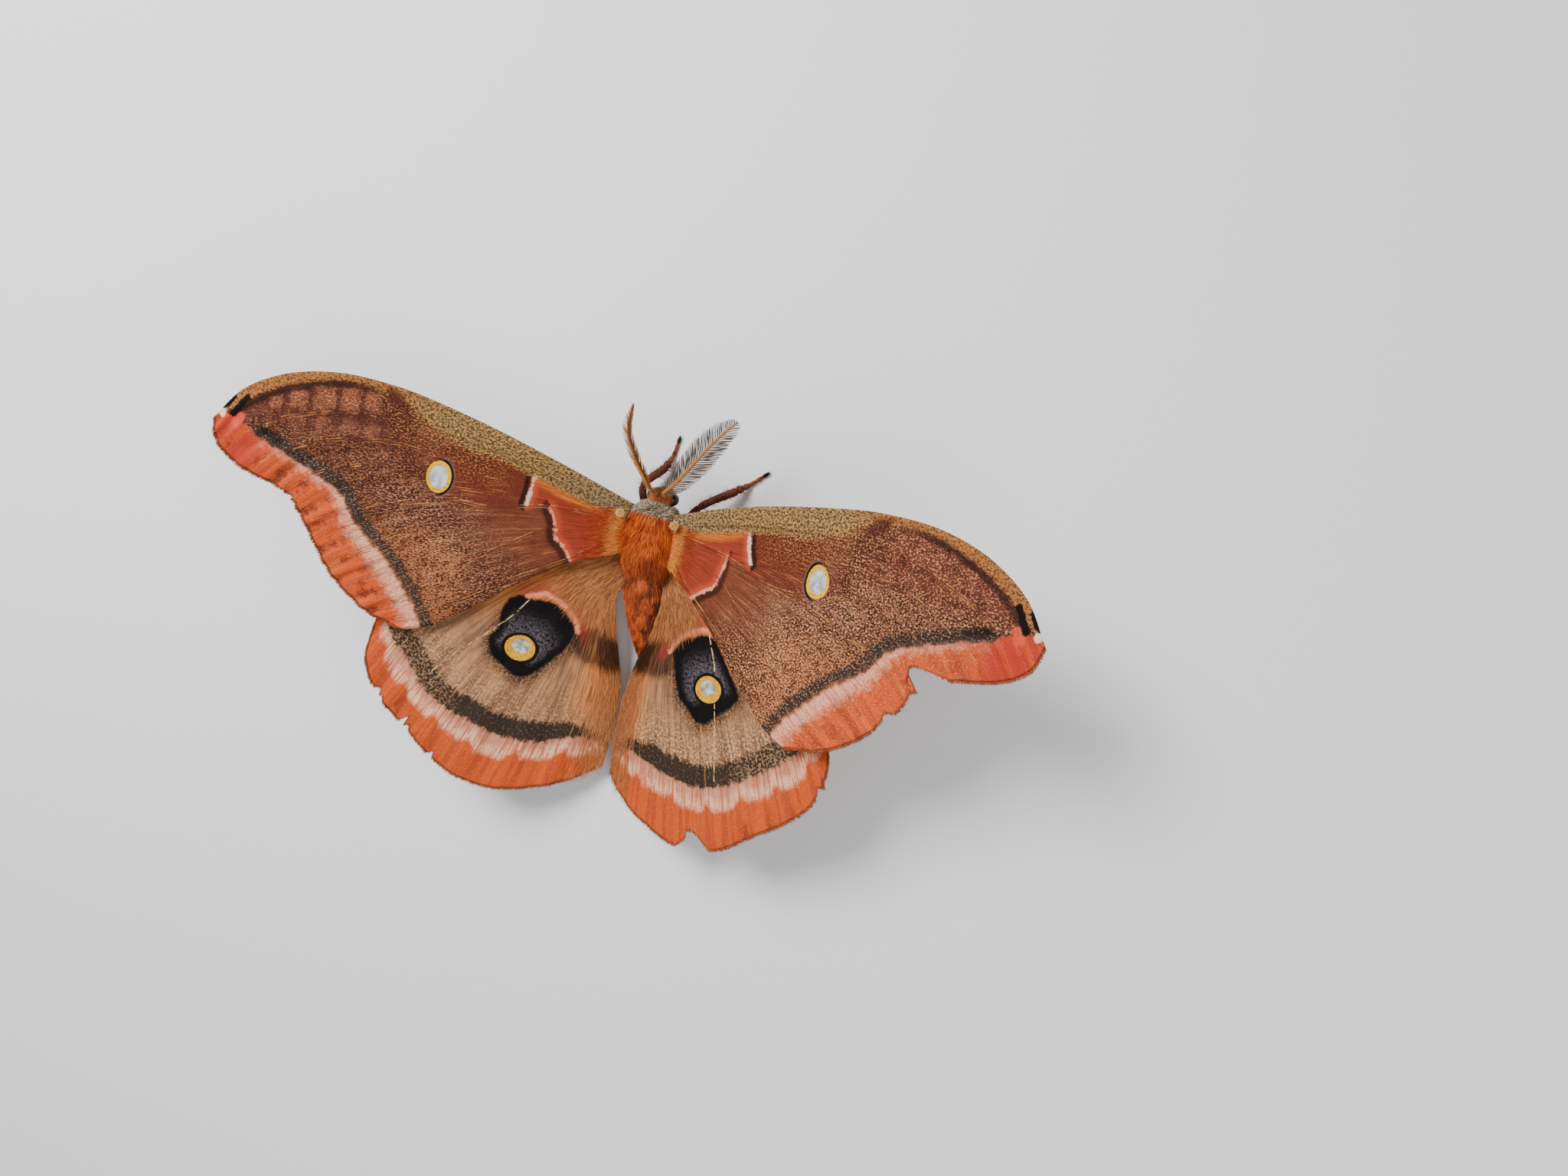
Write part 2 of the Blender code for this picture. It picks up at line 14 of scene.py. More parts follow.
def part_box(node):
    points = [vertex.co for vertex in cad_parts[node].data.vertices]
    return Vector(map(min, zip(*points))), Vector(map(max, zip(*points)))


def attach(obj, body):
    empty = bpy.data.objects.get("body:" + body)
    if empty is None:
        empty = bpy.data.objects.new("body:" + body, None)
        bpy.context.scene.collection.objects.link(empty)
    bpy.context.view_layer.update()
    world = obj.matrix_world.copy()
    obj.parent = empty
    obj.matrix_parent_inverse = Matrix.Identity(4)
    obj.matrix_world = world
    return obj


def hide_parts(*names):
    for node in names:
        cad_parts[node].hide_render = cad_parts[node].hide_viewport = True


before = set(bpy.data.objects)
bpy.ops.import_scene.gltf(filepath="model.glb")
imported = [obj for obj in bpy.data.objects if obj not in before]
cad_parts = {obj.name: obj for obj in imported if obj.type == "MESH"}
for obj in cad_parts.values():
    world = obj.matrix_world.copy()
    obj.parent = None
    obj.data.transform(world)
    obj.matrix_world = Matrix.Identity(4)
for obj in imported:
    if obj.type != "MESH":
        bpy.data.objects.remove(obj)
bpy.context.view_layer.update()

bl_info = {
    "name": "Polyphemus moth",
    "version": (1, 0, 0),
    "blender": (4, 5, 0),
    "location": "View3D > Sidebar > Moth",
    "description": "Builds the looks of a life-size male polyphemus moth over its frame",
    "category": "Object",
}

MM = 0.001
EYE_MIDDLE = (-1.15, 4.3, 7.5)
ROOT_GAP = 0.1
ROOT_PASSES = 6
SIDES = ("left", "right")

# Sections of the body: distance along Y, half width, half height, middle height and sideways shift.
HEAD_RINGS = (
    (5.7, 0.4, 0.5, 7.35, 0.35), (5.4, 1.0, 1.15, 7.4, 0.35), (4.9, 1.5, 1.65, 7.5, 0.35),
    (4.3, 1.7, 1.85, 7.6, 0.35), (3.7, 1.75, 1.8, 7.65, 0.35), (3.28, 1.7, 1.7, 7.7, 0.32),
)
THORAX_RINGS = (
    (2.95, 2.3, 2.0, 7.7, 0.2), (2.55, 3.2, 3.0, 7.6, 0.15), (1.6, 3.85, 3.8, 7.5, 0.05),
    (-0.6, 4.05, 4.15, 7.4, 0.0), (-2.8, 4.05, 4.25, 7.3, 0.0), (-4.8, 3.8, 4.0, 7.1, 0.05),
    (-6.5, 3.35, 3.5, 6.8, 0.15), (-7.6, 2.9, 3.0, 6.5, 0.25),
)
ABDOMEN_RINGS = (
    (-7.95, 2.85, 2.95, 6.45, 0.3), (-9.5, 3.05, 3.05, 6.1, 0.5), (-12.5, 3.05, 2.95, 5.4, 1.05),
    (-15.5, 2.75, 2.65, 4.7, 1.75), (-18.2, 2.15, 2.1, 4.1, 2.45), (-20.0, 1.4, 1.45, 3.75, 2.9),
    (-20.9, 0.6, 0.7, 3.6, 3.1),
)
BODY_ROWS = 170
BODY_SIDES = 72
NECK = 3.1
WAIST = -7.8
TUFT_SHARES = (0.0, 0.42, 0.78)
TUFT_ANGLES = (0.0, 2.1, 4.2)
TUFT_POINTS = 10
TUFT_PATCH = 0.003
COAT_DEPTH = {"head": 0.3, "thorax": 0.75, "abdomen": 0.45}

# Wing outlines, flat: distance out along the span and forward of the hinge.
FORE_COSTA = ((10, 6.1), (23, 9.8), (34, 11.9), (42, 12.0), (49, 10.3), (54.5, 7.0), (58.2, 2.2))
FORE_OUTER = (
    (58.2, 2.2), (57.5, -0.8), (55.4, -2.9), (51.5, -4.6), (47.5, -5.9), (44.2, -9.0), (41.5, -13.2),
    (37.9, -17.6), (33.2, -21.0), (27.8, -22.8),
)
FORE_INNER = ((6, -8.3), (13, -13.1), (19, -17.9), (24.3, -21.7), (27.8, -22.8))
HIND_COSTA = ((8, 3.2), (15, 1.6), (22, -1.6), (27, -6.2), (30.5, -12.5))
HIND_OUTER = (
    (30.5, -12.5), (32.4, -18.5), (32.7, -22.2), (31.3, -26.2), (28.2, -29.6), (24.2, -32.6),
    (18.6, -36.7), (12.2, -38.5), (7.3, -38.0), (2.6, -36.6), (-1.2, -34.8),
)
HIND_INNER = {
    "left": ((-1.6, -5.6), (-2.2, -9.7), (-3.8, -15.0), (-5.2, -20.0), (-5.6, -26.0), (-5.2, -32.0)),
    "right": ((0.7, -5.3), (0.4, -8.3), (-1.6, -13.6), (-3.1, -19.5), (-4.0, -26.0), (-4.2, -32.0)),
}
ROOT_CHORD = {"fore": (2.1, -5.2), "hind": (2.8, -1.4)}
HINGE_X = {"left": 5.0, "right": 3.6}
WING_SET = {
    "fore": {"y": 0.0, "z": 9.0, "bend": (25.0, 12.0), "span": 66.0, "twist": 8.3, "lift": (0.0, 0.0)},
    "hind": {"y": -6.0, "z": 6.1, "bend": (26.0, 6.0), "span": 48.0, "twist": 3.0, "lift": (0.0, 2.7)},
}
SWEEP = {"fore": {"left": 0.0, "right": -1.5}, "hind": {"left": 0.0, "right": 2.1}}
LIFT_SPAN = (9.0, 8.0)
LIFT_FRONT = (-1.0, 6.0)
LIFT_REAR = (38.0, 22.0)

WING_ACROSS = 200
WING_OUT = 150
MEMBRANE = 0.16
COSTA_THICK = 0.5
COSTA_WIDTH = 0.14
VEIN_HEIGHT = 0.13
VEIN_HALF = 0.16
PLEAT_DEPTH = 0.28
FOLD_DEPTH = 0.16
FRAY = 0.06
RIPPLE = 0.08

# Torn margins: place across the fan and how far the margin is drawn back there, in turn.
TEARS = {
    "forewing_left": (
        (0.34, 0), (0.355, 0.55), (0.37, 0.1), (0.385, 0.9), (0.395, 0.2), (0.41, 0.5), (0.43, 0),
    ),
    "forewing_right": (
        (0.336, 0), (0.345, 4.0), (0.36, 4.6), (0.377, 4.5), (0.4, 3.6), (0.42, 3.0), (0.436, 2.3),
        (0.447, 0.5), (0.47, 0.75), (0.49, 0.35), (0.51, 0.05), (0.56, 0.05), (0.575, 1.1), (0.59, 0.9),
        (0.602, 0.4), (0.63, 0.25), (0.66, 0),
    ),
    "hindwing_left": (
        (0.275, 0), (0.288, 0.9), (0.3, 0.2), (0.31, 0.6), (0.325, 0), (0.385, 0), (0.393, 2.0),
        (0.402, 0.3), (0.412, 0.9), (0.425, 0), (0.5, 0), (0.508, 1.1), (0.518, 0),
    ),
    "hindwing_right": (
        (0.18, 0), (0.192, -0.4), (0.206, 0.7), (0.23, 0), (0.553, 0), (0.575, 0.1), (0.6, 1.6),
        (0.625, 2.8), (0.648, 2.8), (0.656, 1.4), (0.672, 0.8), (0.69, 0),
    ),
}

# Markings, flat in the same way. Pairs hold the left wing's and the right wing's.
FORE_VEINS = (
    ((0.5, -0.3), (10.4, -0.6), (20.1, -2.4), (24.9, -2.0)),
    ((4, 1.8), (14, 4.6), (26, 6.8), (35.0, 7.8), (43.6, 5.9), (48.5, 4.2), (53.6, 1.2)),
    ((27.3, 3.4), (32.1, 4.0), (36.7, 3.6), (43.1, 2.0), (52.5, -3.6)),
    ((27.9, 2.1), (34.7, 0.6), (42.5, -2.3), (47.0, -5.9)),
    ((27.0, -3.4), (31.6, -4.6), (36.8, -6.3), (43.6, -9.8)),
    ((20.0, -2.8), (25.5, -5.6), (29.5, -8.1), (34.5, -11.6), (39.6, -15.6)),
    ((9.9, -3.6), (18.7, -9.8), (25.7, -15.4), (33.4, -20.6)),
    ((1.5, -4.2), (5.7, -7.4), (14.3, -12.6), (19.5, -15.9), (28.3, -22.4)),
)
ANTE_BAR = (
    ((12.6, 3.9), (12.9, 3.2), (13.1, 1.1), (13.4, -0.8)),
    ((13.9, 3.9), (14.1, 3.2), (14.4, 1.6), (15.2, -0.4)),
)
ANTE_CURVE = (
    ((9.9, -0.7), (8.8, -3.0), (8.6, -4.6), (7.0, -6.2), (5.3, -8.6)),
    ((11.2, -0.9), (10.7, -3.1), (10.2, -5.0), (8.0, -6.9), (6.0, -8.6)),
)
POST_LINE = (
    (51.4, 1.6), (48.4, 0.6), (45.0, -0.8), (42.5, -1.9), (40.0, -3.0), (37.8, -4.9), (36.3, -7.4),
    (34.0, -9.6), (31.6, -11.6), (29.5, -14.0), (27.2, -16.8), (25.7, -18.9), (24.4, -21.4),
)
COSTAL_EDGE = (
    (-0.8, -0.2), (2.9, 0.5), (8.9, 2.0), (14.0, 3.6), (18.2, 4.8), (23.0, 5.4), (28.0, 7.4), (32.1, 10.0),
    (36.0, 11.0), (40.0, 11.2), (45.4, 10.0), (50.9, 7.5), (55.0, 4.4),
)
MEDIAN_LINE = (
    (34.0, 11.5), (32.7, 8.3), (31.3, 4.2), (28.5, -1.3), (26.6, -3.3), (23.6, -5.2), (18.6, -11.7),
    (15.1, -13.1),
)
DISCAL_CELL = ((13.6, 4.4), (13.8, -0.8), (20.0, -2.3), (26.0, -2.2), (27.5, 1.0), (27.0, 4.0), (20.0, 5.4))
EYESPOT = ((26.1, 0.5), (26.5, 0.5))
EYESPOT_HALF = (1.78, 2.35)
EYE_VEIN = ((25.2, -0.9), (27.4, 1.9))
BLOTCHES = ((49.8, 6.2), (46.8, 7.5), (43.2, 8.2), (39.6, 8.6), (36.5, 8.9))
BLOTCH_HALVES = ((0.9, 1.1), (1.25, 1.7), (1.5, 2.0), (1.3, 1.9), (1.15, 1.6))
BLOTCH_ROW = ((46.6, 4.0), (43.0, 4.3), (39.4, 4.9), (36.2, 4.9))
APEX_SPOTS = (((55.9, 5.5), (56.9, 4.3), 0.62), ((53.7, 5.9), (55.5, 3.3), 0.46))
APEX_WHITE = ((57.3, 3.9), (57.0, 2.9), 0.42)
APEX_PINK = ((54.4, 3.0), (55.0, 2.0), 0.6)
APEX_SHADE = ((51.0, 1.9), (48.6, 0.9), 0.5)

PATCH = (
    (
        (10.3, -9.0), (8.2, -8.8), (6.1, -9.5), (4.6, -10.8), (3.5, -12.4), (4.1, -15.0), (5.5, -16.9),
        (6.7, -18.4), (9.1, -20.6), (10.5, -20.9), (12.3, -20.0), (14.9, -18.0), (15.5, -16.2),
        (14.6, -14.2), (14.6, -11.6), (13.6, -9.4), (12.0, -8.7),
    ),
    (
        (4.7, -11.2), (5.5, -9.5), (6.9, -8.6), (9.3, -7.6), (10.8, -7.7), (12.7, -9.3), (14.1, -11.0),
        (15.8, -13.0), (17.0, -14.9), (16.3, -16.1), (14.8, -17.7), (13.0, -19.4), (11.5, -20.2),
        (9.0, -18.9), (7.1, -17.5), (5.9, -14.9),
    ),
)
OCELLUS = ((10.8, -16.6), (11.8, -15.0))
OCELLUS_HALF = (2.3, 1.95)
WINDOW = ((10.7, -16.3), (11.7, -14.8))
WINDOW_HALF = (1.4, 1.12)
CRESCENT = (
    ((11.4, -8.7), (10.2, -8.2), (8.8, -7.8), (7.0, -8.3), (5.0, -9.5), (3.4, -11.2), (3.0, -12.4)),
    ((4.1, -11.2), (4.7, -9.8), (5.5, -8.7), (6.9, -7.6), (9.5, -6.8), (11.0, -6.9)),
)
BAND_MIDDLE = (
    (
        (-6.3, -28.9), (-3.3, -27.8), (-0.6, -27.5), (2.5, -28.0), (4.5, -28.6), (8.0, -28.9),
        (11.7, -28.8), (14.7, -27.9), (17.4, -27.0), (20.1, -26.0), (22.6, -24.3), (24.3, -22.3),
        (26.2, -20.4), (28.6, -17.6), (29.6, -14.5),
    ),
    (
        (-5.8, -28.3), (-2.6, -27.3), (0.8, -26.6), (3.4, -26.9), (5.8, -27.4), (8.6, -27.7),
        (11.4, -27.9), (14.4, -27.3), (18.3, -25.5), (21.3, -23.5), (24.8, -20.6), (27.4, -17.8),
        (29.4, -14.5),
    ),
)
SCALLOP = (
    (
        (-5.6, -29.6), (-1.5, -31.1), (1.5, -31.8), (5.1, -33.0), (7.9, -33.2), (11.4, -34.0),
        (14.9, -33.0), (18.3, -31.5), (22.5, -29.5), (25.5, -27.3), (28.1, -25.0), (29.9, -22.5),
        (31.0, -19.5), (31.2, -14.5),
    ),
    (
        (-5.0, -29.4), (-3.1, -29.8), (0.9, -31.2), (6.9, -32.2), (12.6, -32.5), (18.2, -31.0),
        (22.3, -28.2), (27.0, -25.2), (29.6, -22.5), (31.0, -19.0), (31.2, -14.5),
    ),
)
BROWN_PATCH = (
    ((3.2, -12.6), (0.6, -11.6), (-3.0, -11.9), (-4.0, -15.6), (-1.0, -16.6), (2.4, -15.6)),
    ((-0.6, -9.6), (3.9, -10.0), (4.6, -11.8), (4.0, -14.4), (0.2, -14.6), (-2.4, -12.6)),
)
PALE_VEIN = (
    (
        (10.9, -9.0), (12.6, -11.6), (15.6, -15.0), (18.1, -17.6), (21.7, -21.5), (24.3, -25.3),
        (26.5, -28.2),
    ),
    ((10.0, -7.4), (12.2, -12.0), (13.4, -17.0), (14.6, -22.0), (15.8, -27.0), (16.8, -31.0)),
)
HIND_VEINS = (0.1, 0.22, 0.34, 0.46, 0.58, 0.71, 0.85)

# Each wing's scales: where its noise is cut, and how fine its grain is along and across the wing.
SCALES = {
    ("fore", "left"): (0.0, (2.6, 5.0)),
    ("fore", "right"): (7.0, (3.4, 3.9)),
    ("hind", "left"): (3.0, (2.6, 2.6)),
    ("hind", "right"): (11.0, (2.6, 2.6)),
}
# The noise at which the dark and the light specks start, and at which they show in full.
SPECKS = {"fore": ((0.49, 0.41), (0.53, 0.62)), "hind": ((0.48, 0.4), (0.54, 0.62))}

# The coat's stretches: from and to along Y, and how many tufts.
COATS = {
    "head": (3.35, 9.0, 5600),
    "collar": (1.45, 3.55, 7000),
    "thorax": (-8.4, 1.75, 12300),
    "abdomen": (-30.0, -7.0, 12300),
}
WING_TUFTS = {"fore": 1500, "hind": 7600}
FRINGE_TUFTS = 2600
LEG_TUFTS = 2600
TEGULA_TUFTS = 420
TEGULAE = {"left": (-4.35, 0.55, 10.6), "right": (4.1, 0.75, 10.6)}
TEGULA_RADIUS = 0.4

ANTENNA_PATH = {
    "left": (
        (-0.15, 4.45, 9.2), (-0.4, 4.7, 10.5), (-1.7, 6.5, 11.7), (-3.2, 8.9, 13.1), (-4.5, 12.2, 14.8),
        (-4.3, 15.8, 16.0),
    ),
    "right": (
        (1.0, 4.45, 9.2), (1.25, 4.75, 10.4), (2.9, 6.6, 11.1), (4.9, 9.4, 12.1), (8.3, 14.2, 13.7),
        (10.6, 16.9, 14.3),
    ),
}
ANTENNA_RADIUS = (0.3, 0.12)
ANTENNA_SEGMENTS = 34
SHAFT_SIDES = 12
# Each antenna's ray colour: the left rays are painted golden and the right ones greyer as painted light,
# though both antennae are alike.
RAY_COLOURS = {"left": (157, 108, 60), "right": (102, 85, 71)}
RAY_LENGTH = 3.1
RAY_RADIUS = (0.085, 0.04)
RAY_LEAN = 52.0
RAY_STEPS = 7
RAY_TURN = 0.14
EYE_LINE = (0.32, -0.02, 0.95)
EYE_PLACE = (1.5, 4.3, 7.5)
EYE_RADIUS = 1.0
PALP_PLACE = (0.5, 5.45, 6.55)
PALP_RADIUS = 0.42
HEAD_MIDDLE = 0.35

LEG_ROOTS = {"front": (1.1, 60.0), "mid": (-1.4, 48.0), "hind": (-4.4, 52.0)}
LEGS = {
    "front_left": ((-4.6, 5.2, 3.2), (-2.5, 8.9, 1.5), (-2.1, 11.0, 0.32), (-1.8, 13.9, 0.32)),
    "front_right": ((4.9, 4.1, 3.6), (9.4, 8.0, 1.6), (11.0, 9.6, 0.32), (13.2, 11.8, 0.32)),
    "mid_left": ((-7.2, -0.6, 4.0), (-11.4, -2.6, 1.5), (-13.0, -3.6, 0.32), (-15.2, -5.0, 0.32)),
    "mid_right": ((7.6, -1.0, 4.0), (11.4, -3.4, 1.5), (12.8, -4.6, 0.32), (14.6, -6.4, 0.32)),
    "hind_left": ((-6.3, -9.4, 4.0), (-9.0, -15.8, 1.5), (-9.9, -18.0, 0.32), (-11.4, -21.6, 0.32)),
    "hind_right": ((7.3, -8.6, 4.0), (9.9, -15.4, 1.5), (10.7, -18.0, 0.32), (12.0, -21.6, 0.32)),
}
LEG_RADII = (0.5, 0.7, 0.52, 0.64, 0.32, 0.26)
LEG_ROWS = 110
LEG_SIDES = 16
TARSAL_SEGMENTS = 5
CLAW_RADII = (0.07, 0.015)

CAMERA_PLACE = (55.2512, 2.9239, 166.5403)
CAMERA_AXES = (
    (0.944818, 0.249813, -0.211926), (-0.253163, 0.967354, 0.011627), (0.207912, 0.042666, 0.977217),
)
FOCAL_PIXELS = 1478.84
IMAGE_WIDTH = 2048
SENSOR = 36.0
FLOOR_REACH = 900.0

# Each light's place, its width in metres and its power in watts.
LIGHTS = {"key": ((-190.0, 150.0, 300.0), 0.22, 2.2), "fill": ((240.0, -120.0, 240.0), 0.4, 0.8)}
LIGHT_AIM = (0.0, -5.0, 5.0)
SURROUND_COLOUR = (0.9, 0.94, 1.0, 1.0)
SURROUND_STRENGTH = 0.26


def paint(red, green, blue):
    """A linear colour for the shaders from red, green and blue between 0 and 255."""
    shares = np.array([red, green, blue]) / 255
    linear = np.where(shares <= 0.04045, shares / 12.92, ((shares + 0.055) / 1.055) ** 2.4)
    return (*map(float, linear), 1.0)


def random_for(name):
    """A generator of random numbers that depends only on a piece's name."""
    return np.random.default_rng(sum(ord(letter) * (place + 7) for place, letter in enumerate(name)))


def placed(points):
    """Points of the body's frame, in millimetres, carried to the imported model's frame in metres."""
    low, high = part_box("eye_left")
    shift = (np.array(low) + np.array(high)) / 2 - np.array(EYE_MIDDLE) * MM
    return np.asarray(points, float) * MM + shift


def smooth_path(points, places):
    """Points on a Catmull-Rom curve through the given ones, at places from 0 to 1 of its chord length."""
    knots = np.array(points, float)
    steps = np.linalg.norm(np.diff(knots, axis=0), axis=1)
    along = np.concatenate([[0.0], np.cumsum(steps)]) / steps.sum()
    slopes = np.gradient(knots, along, axis=0)
    places = np.clip(np.asarray(places, float), 0.0, 1.0)
    left = np.clip(np.searchsorted(along, places, side="right") - 1, 0, len(knots) - 2)
    width = (along[left + 1] - along[left])[..., None]
    t = (places - along[left])[..., None] / width
    start = (2 * t**3 - 3 * t**2 + 1) * knots[left] + (t**3 - 2 * t**2 + t) * width * slopes[left]
    end = (3 * t**2 - 2 * t**3) * knots[left + 1] + (t**3 - t**2) * width * slopes[left + 1]
    return start + end


def unit(vectors):
    """Vectors of length 1 along the given ones."""
    return vectors / np.maximum(np.linalg.norm(vectors, axis=-1, keepdims=True), 1e-9)


def to_line(points, line, smooth=True):
    """Distance of flat points from a line, negative on its right-hand side going along it."""
    knots = smooth_path(line, np.linspace(0.0, 1.0, 60)) if smooth else np.array(line, float)
    best = np.full(points.shape[:-1], 1e9)
    sign = np.ones(points.shape[:-1])
    for start, end in zip(knots[:-1], knots[1:], strict=True):
        step = end - start
        share = np.clip(((points - start) @ step) / max(step @ step, 1e-12), 0.0, 1.0)
        away = points - start - share[..., None] * step
        distance = np.linalg.norm(away, axis=-1)
        nearer = distance < best
        best = np.where(nearer, distance, best)
        side = np.sign(step[0] * away[..., 1] - step[1] * away[..., 0])
        sign = np.where(nearer, np.where(side == 0, 1.0, side), sign)
    return best * sign


def to_area(points, corners, rounded=True):
    """Distance of flat points from the edge of an area, negative inside it."""
    loop = np.array([*corners, corners[0]], float)
    if rounded:
        loop = smooth_path(loop, np.linspace(0.0, 1.0, 90))
    distance = np.abs(to_line(points, loop, smooth=False))
    inside = np.zeros(points.shape[:-1], bool)
    for (x0, y0), (x1, y1) in zip(loop[:-1], loop[1:], strict=True):
        crosses = (y0 > points[..., 1]) != (y1 > points[..., 1])
        reach = x0 + (points[..., 1] - y0) * (x1 - x0) / (y1 - y0 if y1 != y0 else 1e-9)
        inside ^= crosses & (points[..., 0] < reach)
    return np.where(inside, -distance, distance)


def ellipse(points, middle, half, power=2.0):
    """How many times its own size away from an oval's middle each flat point is: 1 on its edge."""
    across = np.abs(points[..., 0] - middle[0]) / half[0]
    along = np.abs(points[..., 1] - middle[1]) / half[1]
    return (across**power + along**power) ** (1 / power)


def spot(points, start, end, radius):
    """Distance of flat points from a rounded bar, negative inside it."""
    return np.abs(to_line(points, (start, end), smooth=False)) - radius


def turned(points, axis, degrees):
    """Points turned about the x axis, 0, or the z axis, 2."""
    angle = math.radians(degrees)
    first, second = (1, 2) if axis == 0 else (0, 1)
    out = np.array(points, float)
    out[..., first] = points[..., first] * math.cos(angle) - points[..., second] * math.sin(angle)
    out[..., second] = points[..., first] * math.sin(angle) + points[..., second] * math.cos(angle)
    return out


def wing_surface(kind, side, span, chord):
    """Flat wing points bent up along an arc, twisted, swept and set on the hinge, with their normals."""
    setting = WING_SET[kind]
    root, tip = np.radians(setting["bend"])
    rate = (tip - root) / setting["span"]
    slope = root + rate * span
    out = (np.sin(slope) - math.sin(root)) / rate
    up = (math.cos(root) - np.cos(slope)) / rate
    near = np.clip((LIFT_SPAN[0] - span) / LIFT_SPAN[1], 0.0, 1.0)
    behind = np.clip((LIFT_FRONT[0] - chord) / LIFT_FRONT[1], 0.0, 1.0)
    behind = behind * np.clip((LIFT_REAR[0] + chord) / LIFT_REAR[1], 0.0, 1.0)
    lift = setting["lift"][SIDES.index(side)]
    up = up + lift * near * near * (3 - 2 * near) * behind * behind * (3 - 2 * behind)
    points = np.stack([out, chord, up], axis=-1)
    normals = np.stack([-np.sin(slope), np.zeros_like(slope), np.cos(slope)], axis=-1)
    sweep = SWEEP[kind][side]
    points, normals = (turned(turned(way, 0, setting["twist"]), 2, sweep) for way in (points, normals))
    points = points + np.array([HINGE_X[side], setting["y"], setting["z"]])
    flip = np.array([-1.0 if side == "left" else 1.0, 1.0, 1.0])
    return points * flip, normals * flip


def thorax_ring(y):
    """The thorax's half width, half height, middle height and sideways shift at a place along it."""
    rings = smooth_path(THORAX_RINGS, np.linspace(0.0, 1.0, 16))[::-1]
    return [np.interp(y, rings[:, 0], rings[:, column]) for column in (1, 2, 3, 4)]


def root_span(kind, side, chord):
    """Where the wing's root edge meets the thorax along the span, found in a few passes."""
    way = 1 if side == "right" else -1
    span = np.zeros_like(chord)
    for _ in range(ROOT_PASSES):
        x, y, z = wing_surface(kind, side, span, chord)[0].T
        wide, high, middle, shift = thorax_ring(y)
        share = np.clip((z - middle) / high, -0.98, 0.98)
        span = span + (wide * np.sqrt(1 - share**2) + way * shift) - ROOT_GAP - way * x
    return span


def fan(root, front, rear, outer, across, outward):
    """A patch stretched between four edge curves: root and outer edge, front and rear edge."""
    low = smooth_path(root, across)[:, None, :]
    high = smooth_path(outer, across)[:, None, :]
    start = smooth_path(front, outward)[None, :, :]
    end = smooth_path(rear, outward)[None, :, :]
    u = across[:, None, None]
    v = outward[None, :, None]
    corners = (1 - u) * (1 - v) * low[:1] + u * (1 - v) * low[-1:]
    corners = corners + (1 - u) * v * high[:1] + u * v * high[-1:]
    return (1 - v) * low + v * high + (1 - u) * start + u * end - corners


def waves(places, count, low, high, rng):
    """A sum of sine waves of random phase, as a smooth random line between about -1 and 1."""
    total = np.zeros_like(places)
    for _ in range(count):
        total = total + np.sin(places * rng.uniform(low, high) + rng.uniform(0.0, 2 * np.pi))
    return total / math.sqrt(count)


def new_mesh(name, points, faces, material):
    """A smooth mesh object from points in the body's frame, with its numbered faces."""
    mesh = bpy.data.meshes.new(name)
    faces = np.asarray(faces)
    size = faces.shape[1]
    mesh.vertices.add(len(points))
    mesh.vertices.foreach_set("co", placed(points).astype(np.float32).ravel())
    mesh.loops.add(faces.size)
    mesh.loops.foreach_set("vertex_index", faces.astype(np.int32).ravel())
    mesh.polygons.add(len(faces))
    mesh.polygons.foreach_set("loop_start", np.arange(0, faces.size, size, dtype=np.int32))
    mesh.polygons.foreach_set("loop_total", np.full(len(faces), size, np.int32))
    mesh.update(calc_edges=True)
    mesh.validate()
    mesh.polygons.foreach_set("use_smooth", np.ones(len(mesh.polygons), bool))
    mesh.materials.append(material)
    made = bpy.data.objects.new(name, mesh)
    bpy.context.scene.collection.objects.link(made)
    return made


def add_numbers(piece, **values):
    """Attributes of a piece's points by name, each one number for every point or the same for all."""
    for name, value in values.items():
        layer = piece.data.attributes.new(name, "FLOAT", "POINT")
        layer.data.foreach_set("value", np.full(len(piece.data.vertices), np.ravel(value), np.float32))


def add_vector(piece, name, values):
    """An attribute with a vector for each of a piece's points."""
    layer = piece.data.attributes.new(name, "FLOAT_VECTOR", "POINT")
    layer.data.foreach_set("vector", np.asarray(values, np.float32).ravel())


def finished(piece, slot, *nodes):
    """Fixes a piece to the body and hides the nodes that it replaces. The slot is not used."""
    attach(piece, "root")
    if nodes:
        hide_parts(*nodes)


